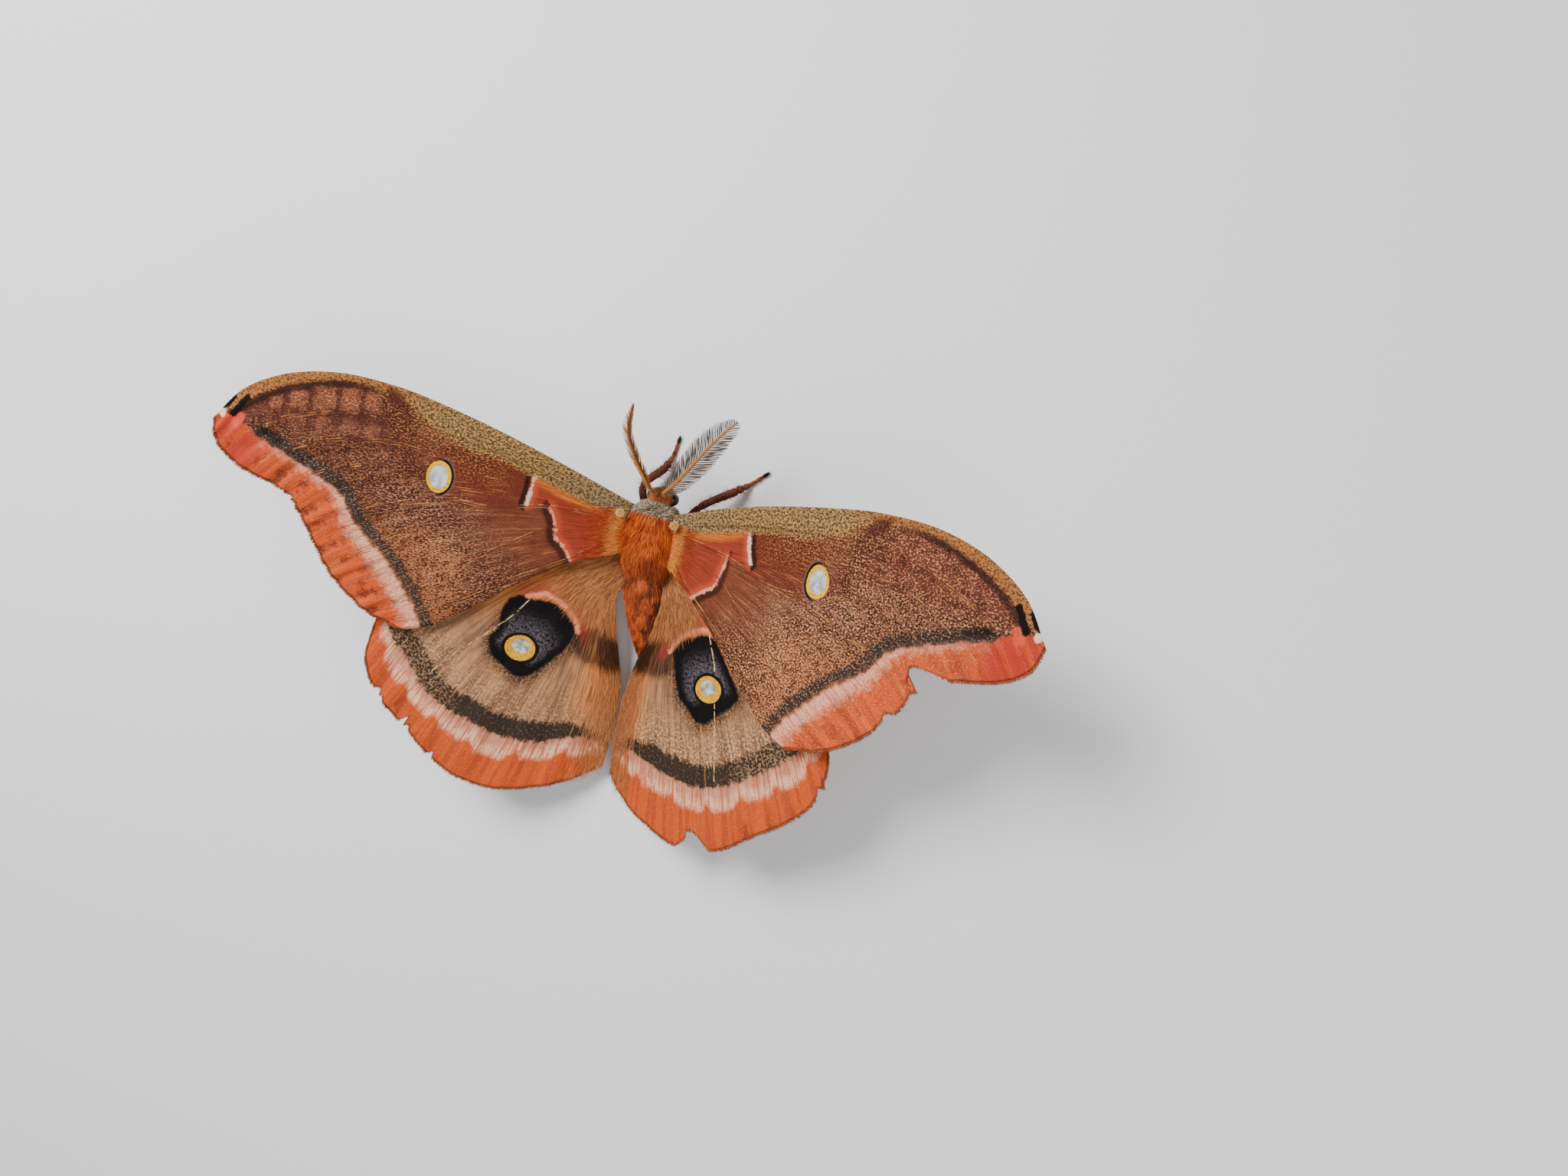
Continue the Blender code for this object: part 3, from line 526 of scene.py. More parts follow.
class Value:
    """A socket of a material, on which Python's operators add the shader's own maths nodes."""

    def __init__(self, tree, socket):
        self.tree = tree
        self.socket = socket

    def node(self, kind, inputs, output=0, **settings):
        """A new node's output, once its settings and then its sockets are set."""
        made = self.tree.nodes.new(kind)
        for name, value in settings.items():
            setattr(made, name, value)
        for key, value in inputs.items():
            if isinstance(value, Value):
                self.tree.links.new(value.socket, made.inputs[key])
            else:
                made.inputs[key].default_value = value
        return Value(self.tree, made.outputs[output])

    def maths(self, operation, *others):
        return self.node("ShaderNodeMath", dict(enumerate((self, *others))), operation=operation)

    def __add__(self, other):
        return self.maths("ADD", other)

    def __mul__(self, other):
        return self.maths("MULTIPLY", other)

    def __sub__(self, other):
        return self.maths("SUBTRACT", other)

    def __rsub__(self, other):
        return self * -1.0 + other

    __radd__ = __add__
    __rmul__ = __mul__

    def size(self):
        return self.maths("ABSOLUTE")

    def ramp(self, low, high):
        """0 below low and 1 above high, smooth between; the other way round if high is the lower."""
        if high < low:
            return 1.0 - self.ramp(high, low)
        return self.node("ShaderNodeMapRange", {0: self, 1: low, 2: high}, interpolation_type="SMOOTHSTEP")

    def parts(self):
        split = self.node("ShaderNodeSeparateXYZ", {0: self}).socket.node
        return [Value(self.tree, output) for output in split.outputs]

    def stretched(self, x, y, z):
        return self.node("ShaderNodeVectorMath", {0: self, 1: (x, y, z)}, operation="MULTIPLY")

    def shifted(self, x, y, z):
        return self.node("ShaderNodeVectorMath", {0: self, 1: (x, y, z)}, operation="ADD")

    def noise(self, scale, detail=2.0, rough=0.5):
        inputs = {"Vector": self, "Scale": scale, "Detail": detail, "Roughness": rough}
        return self.node("ShaderNodeTexNoise", inputs)


class Colour(Value):
    """A colour of a material, over which others are laid in turn."""

    def lay(self, mask, colour):
        """Lays a colour over this one, in full where the mask is 1."""
        shade = colour if isinstance(colour, Value) else paint(*colour)
        self.socket = self.node("ShaderNodeMix", {0: mask, 6: self, 7: shade}, 2, data_type="RGBA").socket


class Paint:
    """One material: its tree, its attributes and its shader."""

    def __init__(self, name, roughness):
        self.material = bpy.data.materials.new(name)
        self.material.use_nodes = True
        self.tree = self.material.node_tree
        self.shader = self.tree.nodes["Principled BSDF"]
        self.set("Roughness", roughness)
        self.set("Specular IOR Level", 0.06)

    def attribute(self, name, output):
        made = self.tree.nodes.new("ShaderNodeAttribute")
        made.attribute_name = name
        return Value(self.tree, made.outputs[output])

    def number(self, name):
        return self.attribute(name, "Fac")

    def vector(self, name):
        return self.attribute(name, "Vector")

    def mixed(self, mask, low, high):
        """A colour that goes from one to another as the mask goes from 0 to 1."""
        made = self.tree.nodes.new("ShaderNodeRGB")
        made.outputs[0].default_value = paint(*low)
        colour = Colour(self.tree, made.outputs[0])
        colour.lay(mask, high)
        return colour

    def set(self, name, value):
        if isinstance(value, Value):
            self.tree.links.new(value.socket, self.shader.inputs[name])
        else:
            self.shader.inputs[name].default_value = value

    def coloured(self, colour):
        """The material, once its colour is set."""
        self.set("Base Color", colour)
        return self.material


def fore_marks(flat, side):
    """The forewing's markings as fields over its flat surface, by attribute name."""
    one = SIDES.index(side)
    bar = to_line(flat, ANTE_BAR[one])
    curve = to_line(flat, ANTE_CURVE[one])
    front = ((-6.0, 9.0), (ANTE_BAR[one][0][0], 9.0))
    base = (*front, *ANTE_BAR[one], *ANTE_CURVE[one], (4.0, -14.0), (-6.0, -14.0))
    rows = [ellipse(flat, middle, half, 3.5) for middle, half in zip(BLOTCHES, BLOTCH_HALVES, strict=True)]
    row = [ellipse(flat, middle, (1.3, 1.4), 3.0) for middle in BLOTCH_ROW]
    return {
        "bar": bar,
        "curve": curve,
        "base": to_area(flat, base, rounded=False),
        "bar_off": np.abs(bar),
        "curve_off": np.abs(curve),
        "post": to_line(flat, POST_LINE),
        "costal": to_line(flat, COSTAL_EDGE),
        "median": to_line(flat, MEDIAN_LINE),
        "cell": to_area(flat, DISCAL_CELL),
        "eyespot": ellipse(flat, EYESPOT[one], EYESPOT_HALF),
        "basalward": EYESPOT[one][0] - flat[..., 0],
        "eye_vein": np.abs(to_line(flat, EYE_VEIN, smooth=False)),
        "blotch": np.min(rows, axis=0),
        "blotch_row": np.min(row, axis=0),
        "apex": np.minimum(*[spot(flat, *place) for place in APEX_SPOTS]),
        "apex_white": spot(flat, *APEX_WHITE),
        "apex_pink": spot(flat, *APEX_PINK),
        "apex_shade": spot(flat, *APEX_SHADE),
    }


def hind_marks(flat, side):
    """The hindwing's markings as fields over its flat surface, by attribute name."""
    one = SIDES.index(side)
    crescent = to_line(flat, CRESCENT[one]) * (1, -1)[one]
    return {
        "patch": to_area(flat, PATCH[one]),
        "ring": ellipse(flat, OCELLUS[one], OCELLUS_HALF),
        "window": ellipse(flat, WINDOW[one], WINDOW_HALF),
        "crescent": crescent,
        "crescent_off": np.abs(crescent),
        "band": -to_line(flat, BAND_MIDDLE[one]),
        "scallop": -to_line(flat, SCALLOP[one]),
        "brown": to_area(flat, BROWN_PATCH[one]),
        "pale_vein": np.abs(to_line(flat, PALE_VEIN[one])),
    }


def wing_edges(kind, side):
    """A wing's flat edges: the root, drawn to the thorax, the front, the rear and the outer one."""
    chord = np.linspace(*ROOT_CHORD[kind], 5)
    root = np.stack([root_span(kind, side, chord), chord], axis=-1)
    if kind == "fore":
        return root, (root[0], *FORE_COSTA), (root[-1], *FORE_INNER), FORE_OUTER
    inner = HIND_INNER[side]
    return root, (root[0], *HIND_COSTA), (root[-1], *inner), (*HIND_OUTER, inner[-1])


def from_veins(kind, flat):
    """Each flat point's distance from the nearest vein: the hindwing's run along its fan."""
    lines = FORE_VEINS
    if kind == "hind":
        across = np.linspace(0.0, 1.0, WING_ACROSS)
        columns = [np.argmin(np.abs(across - place)) for place in HIND_VEINS]
        lines = [flat[column, WING_OUT // 4 :: 6] for column in columns]
    return lambda points: np.min([np.abs(to_line(points, line)) for line in lines], axis=0)


def build_wing(kind, side, settings, material):
    """One wing, a closed sheet over the fan of its outline.

    Point(u, v) = fan(u, v) drawn back by the tears, carried by wing_surface, then raised along the normal by
    half the membrane, by the veins' ridges exp(-(d / half)^2), less the pleats and the margin's folds.
    """
    name = f"{kind}wing_{side}"
    rng = random_for(name)
    u = np.linspace(0.0, 1.0, WING_ACROSS)[:, None]
    v = np.linspace(0.0, 1.0, WING_OUT)[None, :]
    edges = wing_edges(kind, side)
    flat = fan(*edges, u[:, 0], v[0])
    veins = from_veins(kind, flat)
    fray = FRAY * waves(u, 6, 150, 500, rng)
    back = np.interp(u, *np.array(TEARS[name]).T) * np.clip(v * 4 - 3, 0, 1) ** 1.5
    back = back + np.maximum(fray, 0) * np.clip(v * 30 - 29, 0, 1)
    flat = flat + unit(flat[:, :1] - flat) * back[..., None]
    middle, normal = wing_surface(kind, side, flat[..., 0], flat[..., 1])
    vein = veins(flat)
    ridge = settings.vein_height * np.exp(-((vein / VEIN_HALF) ** 2)) * (1.15 - v)
    leading = np.clip(1.0 - u / COSTA_WIDTH, 0.0, 1.0) * (1.0 - 0.8 * v)
    pleat = PLEAT_DEPTH * np.clip(vein / 2.5, 0, 1) ** 1.5 * np.sqrt(v)
    folds = waves(u, 5, 60, 130, rng) * np.clip(v * 5 - 4, 0, 1)
    ripples = waves(u, 4, 20, 50, rng) * v * RIPPLE
    middle = middle + normal * (FOLD_DEPTH * folds + ripples - pleat)[..., None]
    half = (settings.membrane * (1.25 - 0.6 * v) + COSTA_THICK * leading) / 2
    rim = np.minimum(np.minimum(u, 1 - u) * WING_ACROSS, (1 - v) * WING_OUT)
    half = half * np.clip(0.35 + rim / 3, 0, 1)
    upper = middle + normal * (half + ridge)[..., None]
    lower = middle - normal * (half + 0.5 * ridge)[..., None]
    points = np.concatenate([upper.reshape(-1, 3), lower.reshape(-1, 3)])
    piece = new_mesh(name + "_skin", points, closed_sheet(WING_ACROSS, WING_OUT), material)
    margin = np.abs(to_line(flat, edges[3]))
    marks = fore_marks(flat, side) if kind == "fore" else hind_marks(flat, side)
    marks |= {"vein": vein, "margin": margin, "edge": back + margin, "folds": folds}
    under = np.repeat([0.0, 1.0], vein.size)
    both = {mark: np.tile(np.ravel(values), 2) for mark, values in marks.items()}
    add_numbers(piece, under=under, **both)
    add_vector(piece, "flat", np.column_stack([np.tile(flat.reshape(-1, 2), (2, 1)), under * 40.0]))
    grid = np.stack(np.broadcast_arrays(u, v), axis=-1).reshape(-1, 2)
    add_vector(piece, "fan", np.column_stack([np.tile(grid, (2, 1)), under]))
    finished(piece, "wing", name)
    return {"name": name, "kind": kind, "side": side, "flat": flat, "upper": upper, "normal": normal}


def closed_sheet(columns, rows):
    """Quads of a thin sheet's two faces and of the rim between them."""
    index = np.arange(columns * rows).reshape(columns, rows)
    under = columns * rows
    a, b, c, d = index[:-1, :-1], index[1:, :-1], index[1:, 1:], index[:-1, 1:]
    top = np.stack([a, b, c, d], axis=-1).reshape(-1, 4)
    low = top[:, ::-1] + under
    loop = np.concatenate([index[:, 0], index[-1, 1:], index[-2::-1, -1], index[0, -2:0:-1]])
    ahead = np.roll(loop, -1)
    rim = np.stack([ahead, loop, loop + under, ahead + under], axis=-1)
    return np.concatenate([top, low, rim])


def body_grid(depths):
    """Rings of the body from face to tail, each drawn in by the depth of the coat that lies over it."""
    rings = smooth_path((*HEAD_RINGS, *THORAX_RINGS, *ABDOMEN_RINGS), np.linspace(0.0, 1.0, BODY_ROWS))
    y, wide, high, middle, shift = rings.T
    head, thorax, abdomen = depths
    depth = np.interp(y, [WAIST - 1, WAIST + 1, NECK - 0.5, NECK + 0.5], [abdomen, thorax, thorax, head])
    wide, high = (np.maximum(half - depth, half * 0.4)[:, None] for half in (wide, high))
    turn = np.linspace(0.0, 2 * np.pi, BODY_SIDES, endpoint=False)
    x = shift[:, None] + wide * np.cos(turn)
    z = middle[:, None] + high * np.sin(turn)
    return np.stack([x, np.repeat(y[:, None], BODY_SIDES, axis=1), z], axis=-1)


def wrapped(grid):
    """A tube's grid with its first column once more at the end."""
    return np.concatenate([grid, grid[:, :1]], axis=1)


def grid_normals(points):
    """Outward normals of a tube's grid, whose second direction closes on itself."""
    along = np.gradient(points, axis=0)
    round_it = np.roll(points, -1, axis=1) - np.roll(points, 1, axis=1)
    return unit(np.cross(round_it, along))


def sheet_normals(points, nominal):
    """Normals of an open sheet's grid, on the same side as the nominal ones."""
    normals = unit(np.cross(np.gradient(points, axis=0), np.gradient(points, axis=1)))
    return normals * np.sign(np.sum(normals * nominal, axis=-1, keepdims=True))


def tube_quads(rings, sides):
    """Quads between the rings of a tube whose sides close on themselves."""
    index = np.arange(rings * sides).reshape(rings, sides)
    ahead = np.roll(index, -1, axis=1)
    return np.stack([index[:-1], ahead[:-1], ahead[1:], index[1:]], axis=-1).reshape(-1, 4)


def build_body(material):
    """One skin for head, thorax and abdomen: ellipses along Y, x = shift + w cos t, z = middle + h sin t."""
    grid = body_grid([COAT_DEPTH[part] for part in ("head", "thorax", "abdomen")])
    grid[0] = grid[0].mean(axis=0)
    grid[-1] = grid[-1].mean(axis=0)
    points = grid.reshape(-1, 3)
    piece = new_mesh("body_skin", points, tube_quads(BODY_ROWS, BODY_SIDES)[:, ::-1], material)
    add_vector(piece, "root", points)
    add_numbers(piece, along=0.0, tint=0.5)
    finished(piece, "fur_red", "thorax", "abdomen", "head")
    return grid


def tuft_faces():
    """A lock's triangles over its points, and for each triangle its corners' places on the bake map."""
    faces = []
    corners = []
    for ring, (low, high) in enumerate(zip(TUFT_SHARES[:-1], TUFT_SHARES[1:], strict=True)):
        for k in range(3):
            ahead = (k + 1) % 3
            quad = (ring * 3 + k, ring * 3 + ahead, ring * 3 + 3 + ahead, ring * 3 + 3 + k)
            spread = ((k / 3, low), ((k + 1) / 3, low), ((k + 1) / 3, high), (k / 3, high))
            for picks in ((0, 1, 2), (0, 2, 3)):
                faces.append([quad[pick] for pick in picks])
                corners.append([spread[pick] for pick in picks])
    for k in range(3):
        faces.append((6 + k, 6 + (k + 1) % 3, 9))
        corners.append([(k / 3, TUFT_SHARES[2]), ((k + 1) / 3, TUFT_SHARES[2]), ((k + 0.5) / 3, 1.0)])
    faces.append((2, 1, 0))
    corners.append([(0.9, 0.0), (0.5, 0.0), (0.1, 0.0)])
    return np.array(faces), np.array(corners)


def build_tufts(name, slot, material, roots, aims, up, lengths, widths, bends, places, rng, **numbers):
    """Tapering three-sided locks: a ring at the root, two bent rings and a tip, as one closed piece.

    Lock(t) = root + aim L t + up L bend (t - t^2) * 2, its half width w (1 - t)^0.6. Each number is one
    for every lock, or the same for all.
    """
    count = len(roots)
    side = unit(np.cross(aims, up) + rng.normal(0, 0.05, (count, 3)))
    top = unit(np.cross(side, aims))
    rings = []
    for share in TUFT_SHARES:
        arch = (bends * 2 * (share - share**2))[:, None]
        middle = roots + aims * (lengths * share)[:, None] + up * lengths[:, None] * arch
        half = (widths * (1 - share) ** 0.6)[:, None]
        for angle in TUFT_ANGLES:
            rings.append(middle + side * half * math.cos(angle) + top * half * 0.55 * math.sin(angle))
    points = np.stack([*rings, roots + aims * lengths[:, None]], axis=1)
    faces, corners = tuft_faces()
    numbered = (np.arange(count) * TUFT_POINTS)[:, None, None] + faces
    piece = new_mesh(name, points.reshape(-1, 3), numbered.reshape(-1, 3), material)
    add_vector(piece, "root", np.repeat(roots, TUFT_POINTS, axis=0))
    add_numbers(piece, along=np.tile([*np.repeat(TUFT_SHARES, 3), 1.0], count))
    for key, values in {"tint": rng.random(count), **numbers}.items():
        add_numbers(piece, **{key: np.repeat(np.full(count, values), TUFT_POINTS)})
    patch = places[:, None, None, :] + corners * TUFT_PATCH
    bake_map = piece.data.uv_layers.new(name="OFBake")
    bake_map.uv.foreach_set("vector", patch.astype(np.float32).ravel())
    finished(piece, slot)


def grid_picks(points, normals, count, weight, rng):
    """Random places on a grid surface, by area times weight: points, normals and shares along both ways."""
    u = np.linalg.norm(np.diff(points, axis=0)[:, :-1], axis=-1)
    v = np.linalg.norm(np.diff(points, axis=1)[:-1], axis=-1)
    chance = (u * v * weight[:-1, :-1]).ravel()
    cells = rng.choice(len(chance), size=count, p=chance / chance.sum())
    rows, columns = np.unravel_index(cells, u.shape)
    a = rng.random((count, 1))
    b = rng.random((count, 1))

    def pick(grid):
        low = grid[rows, columns] * (1 - a) + grid[rows + 1, columns] * a
        high = grid[rows, columns + 1] * (1 - a) + grid[rows + 1, columns + 1] * a
        return low * (1 - b) + high * b

    shares = np.column_stack([(rows + a[:, 0]) / points.shape[0], (columns + b[:, 0]) / points.shape[1]])
    return pick(points), unit(pick(normals)), shares


def combed(comb, up):
    """Directions laid flat on the skin."""
    return unit(comb - up * np.sum(comb * up, axis=1, keepdims=True))


def coat_style(part, x, y):
    """How a stretch's coat lies at its roots: its direction, length, rise off the skin and spread."""
    if part == "thorax":
        comb = (0.1 * x * np.clip(-y / 8, -0.2, 1), -1.0, -0.06)
        lengths = np.interp(y, [-8, -5, -1, 2.5], [2.0, 2.5, 1.9, 1.3])
        lengths = lengths * np.interp(np.abs(x), [2.4, 3.4], [1.0, 1.35])
        return comb, lengths, np.interp(y, [-8, -3, 2.5], [0.2, 0.34, 0.55]), 0.14
    if part == "abdomen":
        return (0.22, -1.0, -0.06), np.interp(y, [-21, -16, -8], [1.2, 1.5, 1.9]), 0.24, 0.14
    if part == "collar":
        return (0.16 * x, -0.3, 0.1), 1.05, 0.85, 0.3
    aside = np.clip((x - HEAD_MIDDLE) / 1.2, -1, 1)
    return (0.6 * aside, 0.45, -0.3), np.interp(y, [3.3, 4.5, 5.7], [1.15, 1.15, 0.6]), 0.5, 0.25


def build_coat(part, grid, settings, material):
    """The coat of one stretch of the body, combed towards the tail, or forwards over the face."""
    rng = random_for("coat_" + part)
    low, high, tufts = COATS[part]
    count = int(tufts * settings.coat_share)
    skin = wrapped(grid)
    weight = ((skin[..., 1] > low) & (skin[..., 1] < high)).astype(float)
    roots, up, shares = grid_picks(skin, wrapped(grid_normals(grid)), count, weight, rng)
    clump = np.sin(roots * 3.1 + 1.0) + np.sin(roots[:, [1, 2, 0]] * 2.3) + np.sin(roots[:, [2, 0, 1]] * 5.7)
    comb, lengths, rise, spread = coat_style(part, roots[:, 0], roots[:, 1])
    comb = np.stack([np.full(count, way) for way in comb], axis=-1)
    comb = combed(comb + clump * 0.1 + rng.normal(0, spread, (count, 3)), up)
    aims = unit(comb + up * (rise * rng.uniform(0.6, 1.3, count))[:, None])
    lengths = lengths * rng.uniform(0.6, 1.15, count) * settings.coat_length
    widths = rng.uniform(0.035, 0.065, count) * (1.1 if part in ("thorax", "abdomen") else 0.8)
    bends = rng.uniform(0.0, 0.22, count)
    slot = "fur_orange" if part in ("abdomen", "head") else "fur_red"
    roots = roots - up * 0.1
    collar = 1.0 if part == "collar" else 0.0
    build_tufts(
        "coat_" + part, slot, material, roots, aims, up, lengths, widths, bends, shares, rng, collar=collar
    )


def build_wing_hair(wing, settings, material):
    """Long hair on a wing's base and inner margin, lying out along the wing and towards the tail."""
    name = "hair_" + wing["name"]
    fore = wing["kind"] == "fore"
    rng = random_for(name)
    upper = wing["upper"]
    span, chord = wing["flat"][..., 0], wing["flat"][..., 1]
    if fore:
        weight = np.clip(1.0 - np.hypot(span, (chord + 2.5) * 0.62) / 4.6, 0, 1) ** 1.2
        weight = weight * np.clip((1.2 - chord) / 0.8, 0.0, 1)
    else:
        inner = 1.0 - np.linspace(0.0, 1.0, WING_ACROSS)[:, None]
        weight = np.clip(1.0 - np.hypot(span, chord + 2) / 9.0, 0, 1)
        weight = weight + 0.7 * np.clip(1.0 - inner / 0.13, 0, 1)
        weight = weight * np.clip(1.15 - np.linspace(0.0, 1.0, WING_OUT), 0, 1)[None, :] ** 0.6
        weight = weight * np.clip((3 - chord) / 3, 0.15, 1)
    count = int(WING_TUFTS[wing["kind"]] * settings.coat_share)
    roots, up, shares = grid_picks(upper, sheet_normals(upper, wing["normal"]), count, weight, rng)
    size = np.array(upper.shape[:2])
    row, column = np.clip((shares * size).astype(int), 0, size - 1).T
    ahead = unit(np.gradient(upper, axis=1)[row, column])
    comb = combed(ahead + rng.normal(0, 0.08, (count, 3)), up)
    aims = unit(comb + up * rng.uniform(0.04, 0.2, count)[:, None])
    reach = np.linalg.norm(roots[:, :2] - np.array([0.0, -4.0]), axis=1)
    longest = 1.5 if fore else 2.2
    lengths = np.interp(reach, [3, 8, 30], [longest, longest, 1.6]) * rng.uniform(0.6, 1.2, count)
    widths = rng.uniform(0.022, 0.045, count)
    bends = rng.uniform(-0.03, 0.06, count)
    shades = {"fore": 1.0, "brown": 9.0}
    if not fore:
        patch = BROWN_PATCH[SIDES.index(wing["side"])]
        shades = {"fore": 0.0, "brown": to_area(wing["flat"][row, column], patch)}
    roots = roots - up * 0.03
    build_tufts(name, "fur_orange", material, roots, aims, up, lengths, widths, bends, shares, rng, **shades)


def build_fringe(wing, material):
    """The fringe of scales along a wing's outer margin, short and lying outwards."""
    name = "fringe_" + wing["name"]
    rng = random_for(name)
    upper = wing["upper"]
    place = rng.random(FRINGE_TUFTS) * (len(upper) - 1)
    low = place.astype(int)
    share = (place - low)[:, None]
    edges = (upper[:, -1], upper[:, -4])
    roots, before = (line[low] * (1 - share) + line[low + 1] * share for line in edges)
    up = wing["normal"][low, -1]
    aims = unit(unit(roots - before) + rng.normal(0, 0.22, roots.shape))
    lengths = rng.uniform(0.25, 0.6, FRINGE_TUFTS)
    widths = rng.uniform(0.03, 0.06, FRINGE_TUFTS)
    bends = np.zeros(FRINGE_TUFTS)
    places = np.column_stack([place / len(upper), np.full(FRINGE_TUFTS, 0.99)])
    roots = roots - aims * 0.12
    build_tufts(name, "wing", material, roots, aims, up, lengths, widths, bends, places, rng)


def ball_mesh(name, middle, radius, material, rings=48, sides=64, squash=(1.0, 1.0, 1.0)):
    """A ball: x = r sin a cos t, y = r sin a sin t, z = r cos a."""
    polar = np.linspace(0.0, np.pi, rings)[:, None]
    turn = np.linspace(0.0, 2 * np.pi, sides, endpoint=False)[None, :]
    x, y = np.sin(polar) * np.cos(turn), np.sin(polar) * np.sin(turn)
    shape = np.stack([x, y, np.cos(polar) + 0 * turn], axis=-1)
    points = np.array(middle) + shape.reshape(-1, 3) * radius * np.array(squash)
    return new_mesh(name, points, tube_quads(rings, sides)[:, ::-1], material)


def build_eyes(material):
    """The two round eyes at the sides of the head."""
    for way, side in zip((-1, 1), SIDES, strict=True):
        middle = (HEAD_MIDDLE + way * EYE_PLACE[0], *EYE_PLACE[1:])
        piece = ball_mesh("eye_globe_" + side, middle, EYE_RADIUS, material)
        finished(piece, "eye", "eye_" + side)


def build_palps(material):
    """The two small palps under the face."""
    for way, side in zip((-1, 1), SIDES, strict=True):
        middle = (HEAD_MIDDLE + way * PALP_PLACE[0], *PALP_PLACE[1:])
        piece = ball_mesh("palp_" + side, middle, PALP_RADIUS, material, 20, 24, (1.0, 1.3, 0.9))
        add_vector(piece, "root", np.tile(middle, (len(piece.data.vertices), 1)))
        add_numbers(piece, along=0.4, tint=0.5, collar=0.0)
        finished(piece, "fur_orange")


def tube(path, radii, sides, up=(0.0, 0.0, 1.0)):
    """A tube's grid of points: at each point of the path a circle across it."""
    ahead = unit(np.gradient(path, axis=0))
    side = unit(np.cross(ahead, np.asarray(up, float)))
    top = np.cross(side, ahead)
    turn = np.linspace(0.0, 2 * np.pi, sides, endpoint=False)
    turn = turn[None, :, None]
    round_it = np.cos(turn) * side[:, None, :] + np.sin(turn) * top[:, None, :]
    return path[:, None, :] + round_it * np.asarray(radii)[:, None, None]


def joined(grids):
    """Tubes of many sizes as one set of points and quads, their ends drawn shut."""
    points = []
    quads = []
    start = 0
    for grid in grids:
        rings, sides = grid.shape[:2]
        ends = [np.zeros_like(grid[:1]) + grid[end].mean(axis=0) for end in (0, -1)]
        closed = np.concatenate([ends[0], grid, ends[1]])
        points.append(closed.reshape(-1, 3))
        quads.append(tube_quads(rings + 2, sides)[:, ::-1] + start)
        start += (rings + 2) * sides
    return np.concatenate(points), np.concatenate(quads)


def antenna_frame(side, place):
    """A point of the shaft with its forward direction and the direction of its rays' plane."""
    start = place if place + 0.01 <= 1.0 else place - 0.01
    here, near, point = smooth_path(ANTENNA_PATH[side], [start, start + 0.01, place])
    ahead = unit(near - here)
    eye_line = unit(np.array(EYE_LINE))
    flat = unit(np.cross(ahead, eye_line))
    edge_on = unit(eye_line - ahead * ahead.dot(eye_line))
    across = unit(edge_on + flat * RAY_TURN) if side == "left" else flat
    return point, ahead, across


def build_antenna(side, settings, material):
    """A shaft of short segments with two fine rays on each side of each one, leaning to the tip.

    Ray(t) = root + aim L t + bend L t^2, its radius falling from first to last.
    """
    rng = random_for("antenna_" + side)
    places = np.linspace(0.0, 1.0, ANTENNA_SEGMENTS * 4)
    swell = 1.0 + 0.16 * np.cos(np.arange(len(places)) * np.pi / 2)
    radii = np.interp(places, [0, 1], ANTENNA_RADIUS) * swell
    grids = [tube(smooth_path(ANTENNA_PATH[side], places), radii, SHAFT_SIDES)]
    lean = math.radians(RAY_LEAN)
    share = np.linspace(0.0, 1.0, RAY_STEPS)[:, None]
    for number in range(settings.antenna_rays):
        place = 0.05 + 0.945 * (number + 0.5) / settings.antenna_rays
        here, ahead, across = antenna_frame(side, place)
        normal = np.cross(ahead, across)
        length = RAY_LENGTH * math.sin(math.pi * min(place, 0.999) ** 0.85) ** 0.6
        for way, row in ((-1, -1), (-1, 1), (1, -1), (1, 1)):
            aim = ahead * math.cos(lean) + way * across * math.sin(lean) + normal * row * 0.14
            aim = unit(aim + rng.normal(0, 0.025, 3))
            bend = ahead * 0.16 - way * across * 0.05
            reach = length * rng.uniform(0.93, 1.03) * (1.0 if row > 0 else 0.92)
            ray = here + aim * reach * share + bend * reach * share**2
            grids.append(tube(ray, np.interp(share[:, 0], [0, 1], RAY_RADIUS), 5, up=normal))
    points, quads = joined(grids)
    piece = new_mesh("antenna_plume_" + side, points, quads, material)
    add_numbers(piece, ray=np.arange(len(points)) >= (len(places) + 2) * SHAFT_SIDES)
    finished(piece, "antenna", "antenna_" + side)


def leg_root(name):
    """The first two points of a leg, square to the thorax and inside its coat."""
    pair, side = name.split("_")
    way = 1 if side == "right" else -1
    y, angle = LEG_ROOTS[pair]
    wide, high, middle, shift = thorax_ring(y)
    cosine, sine = math.cos(math.radians(angle)), math.sin(math.radians(angle))
    foot = np.array([shift + way * wide * cosine, y, middle - high * sine])
    normal = unit(np.array([way * cosine / wide, 0.0, -sine / high]))
    return foot - normal * 0.6, foot + normal * 1.1


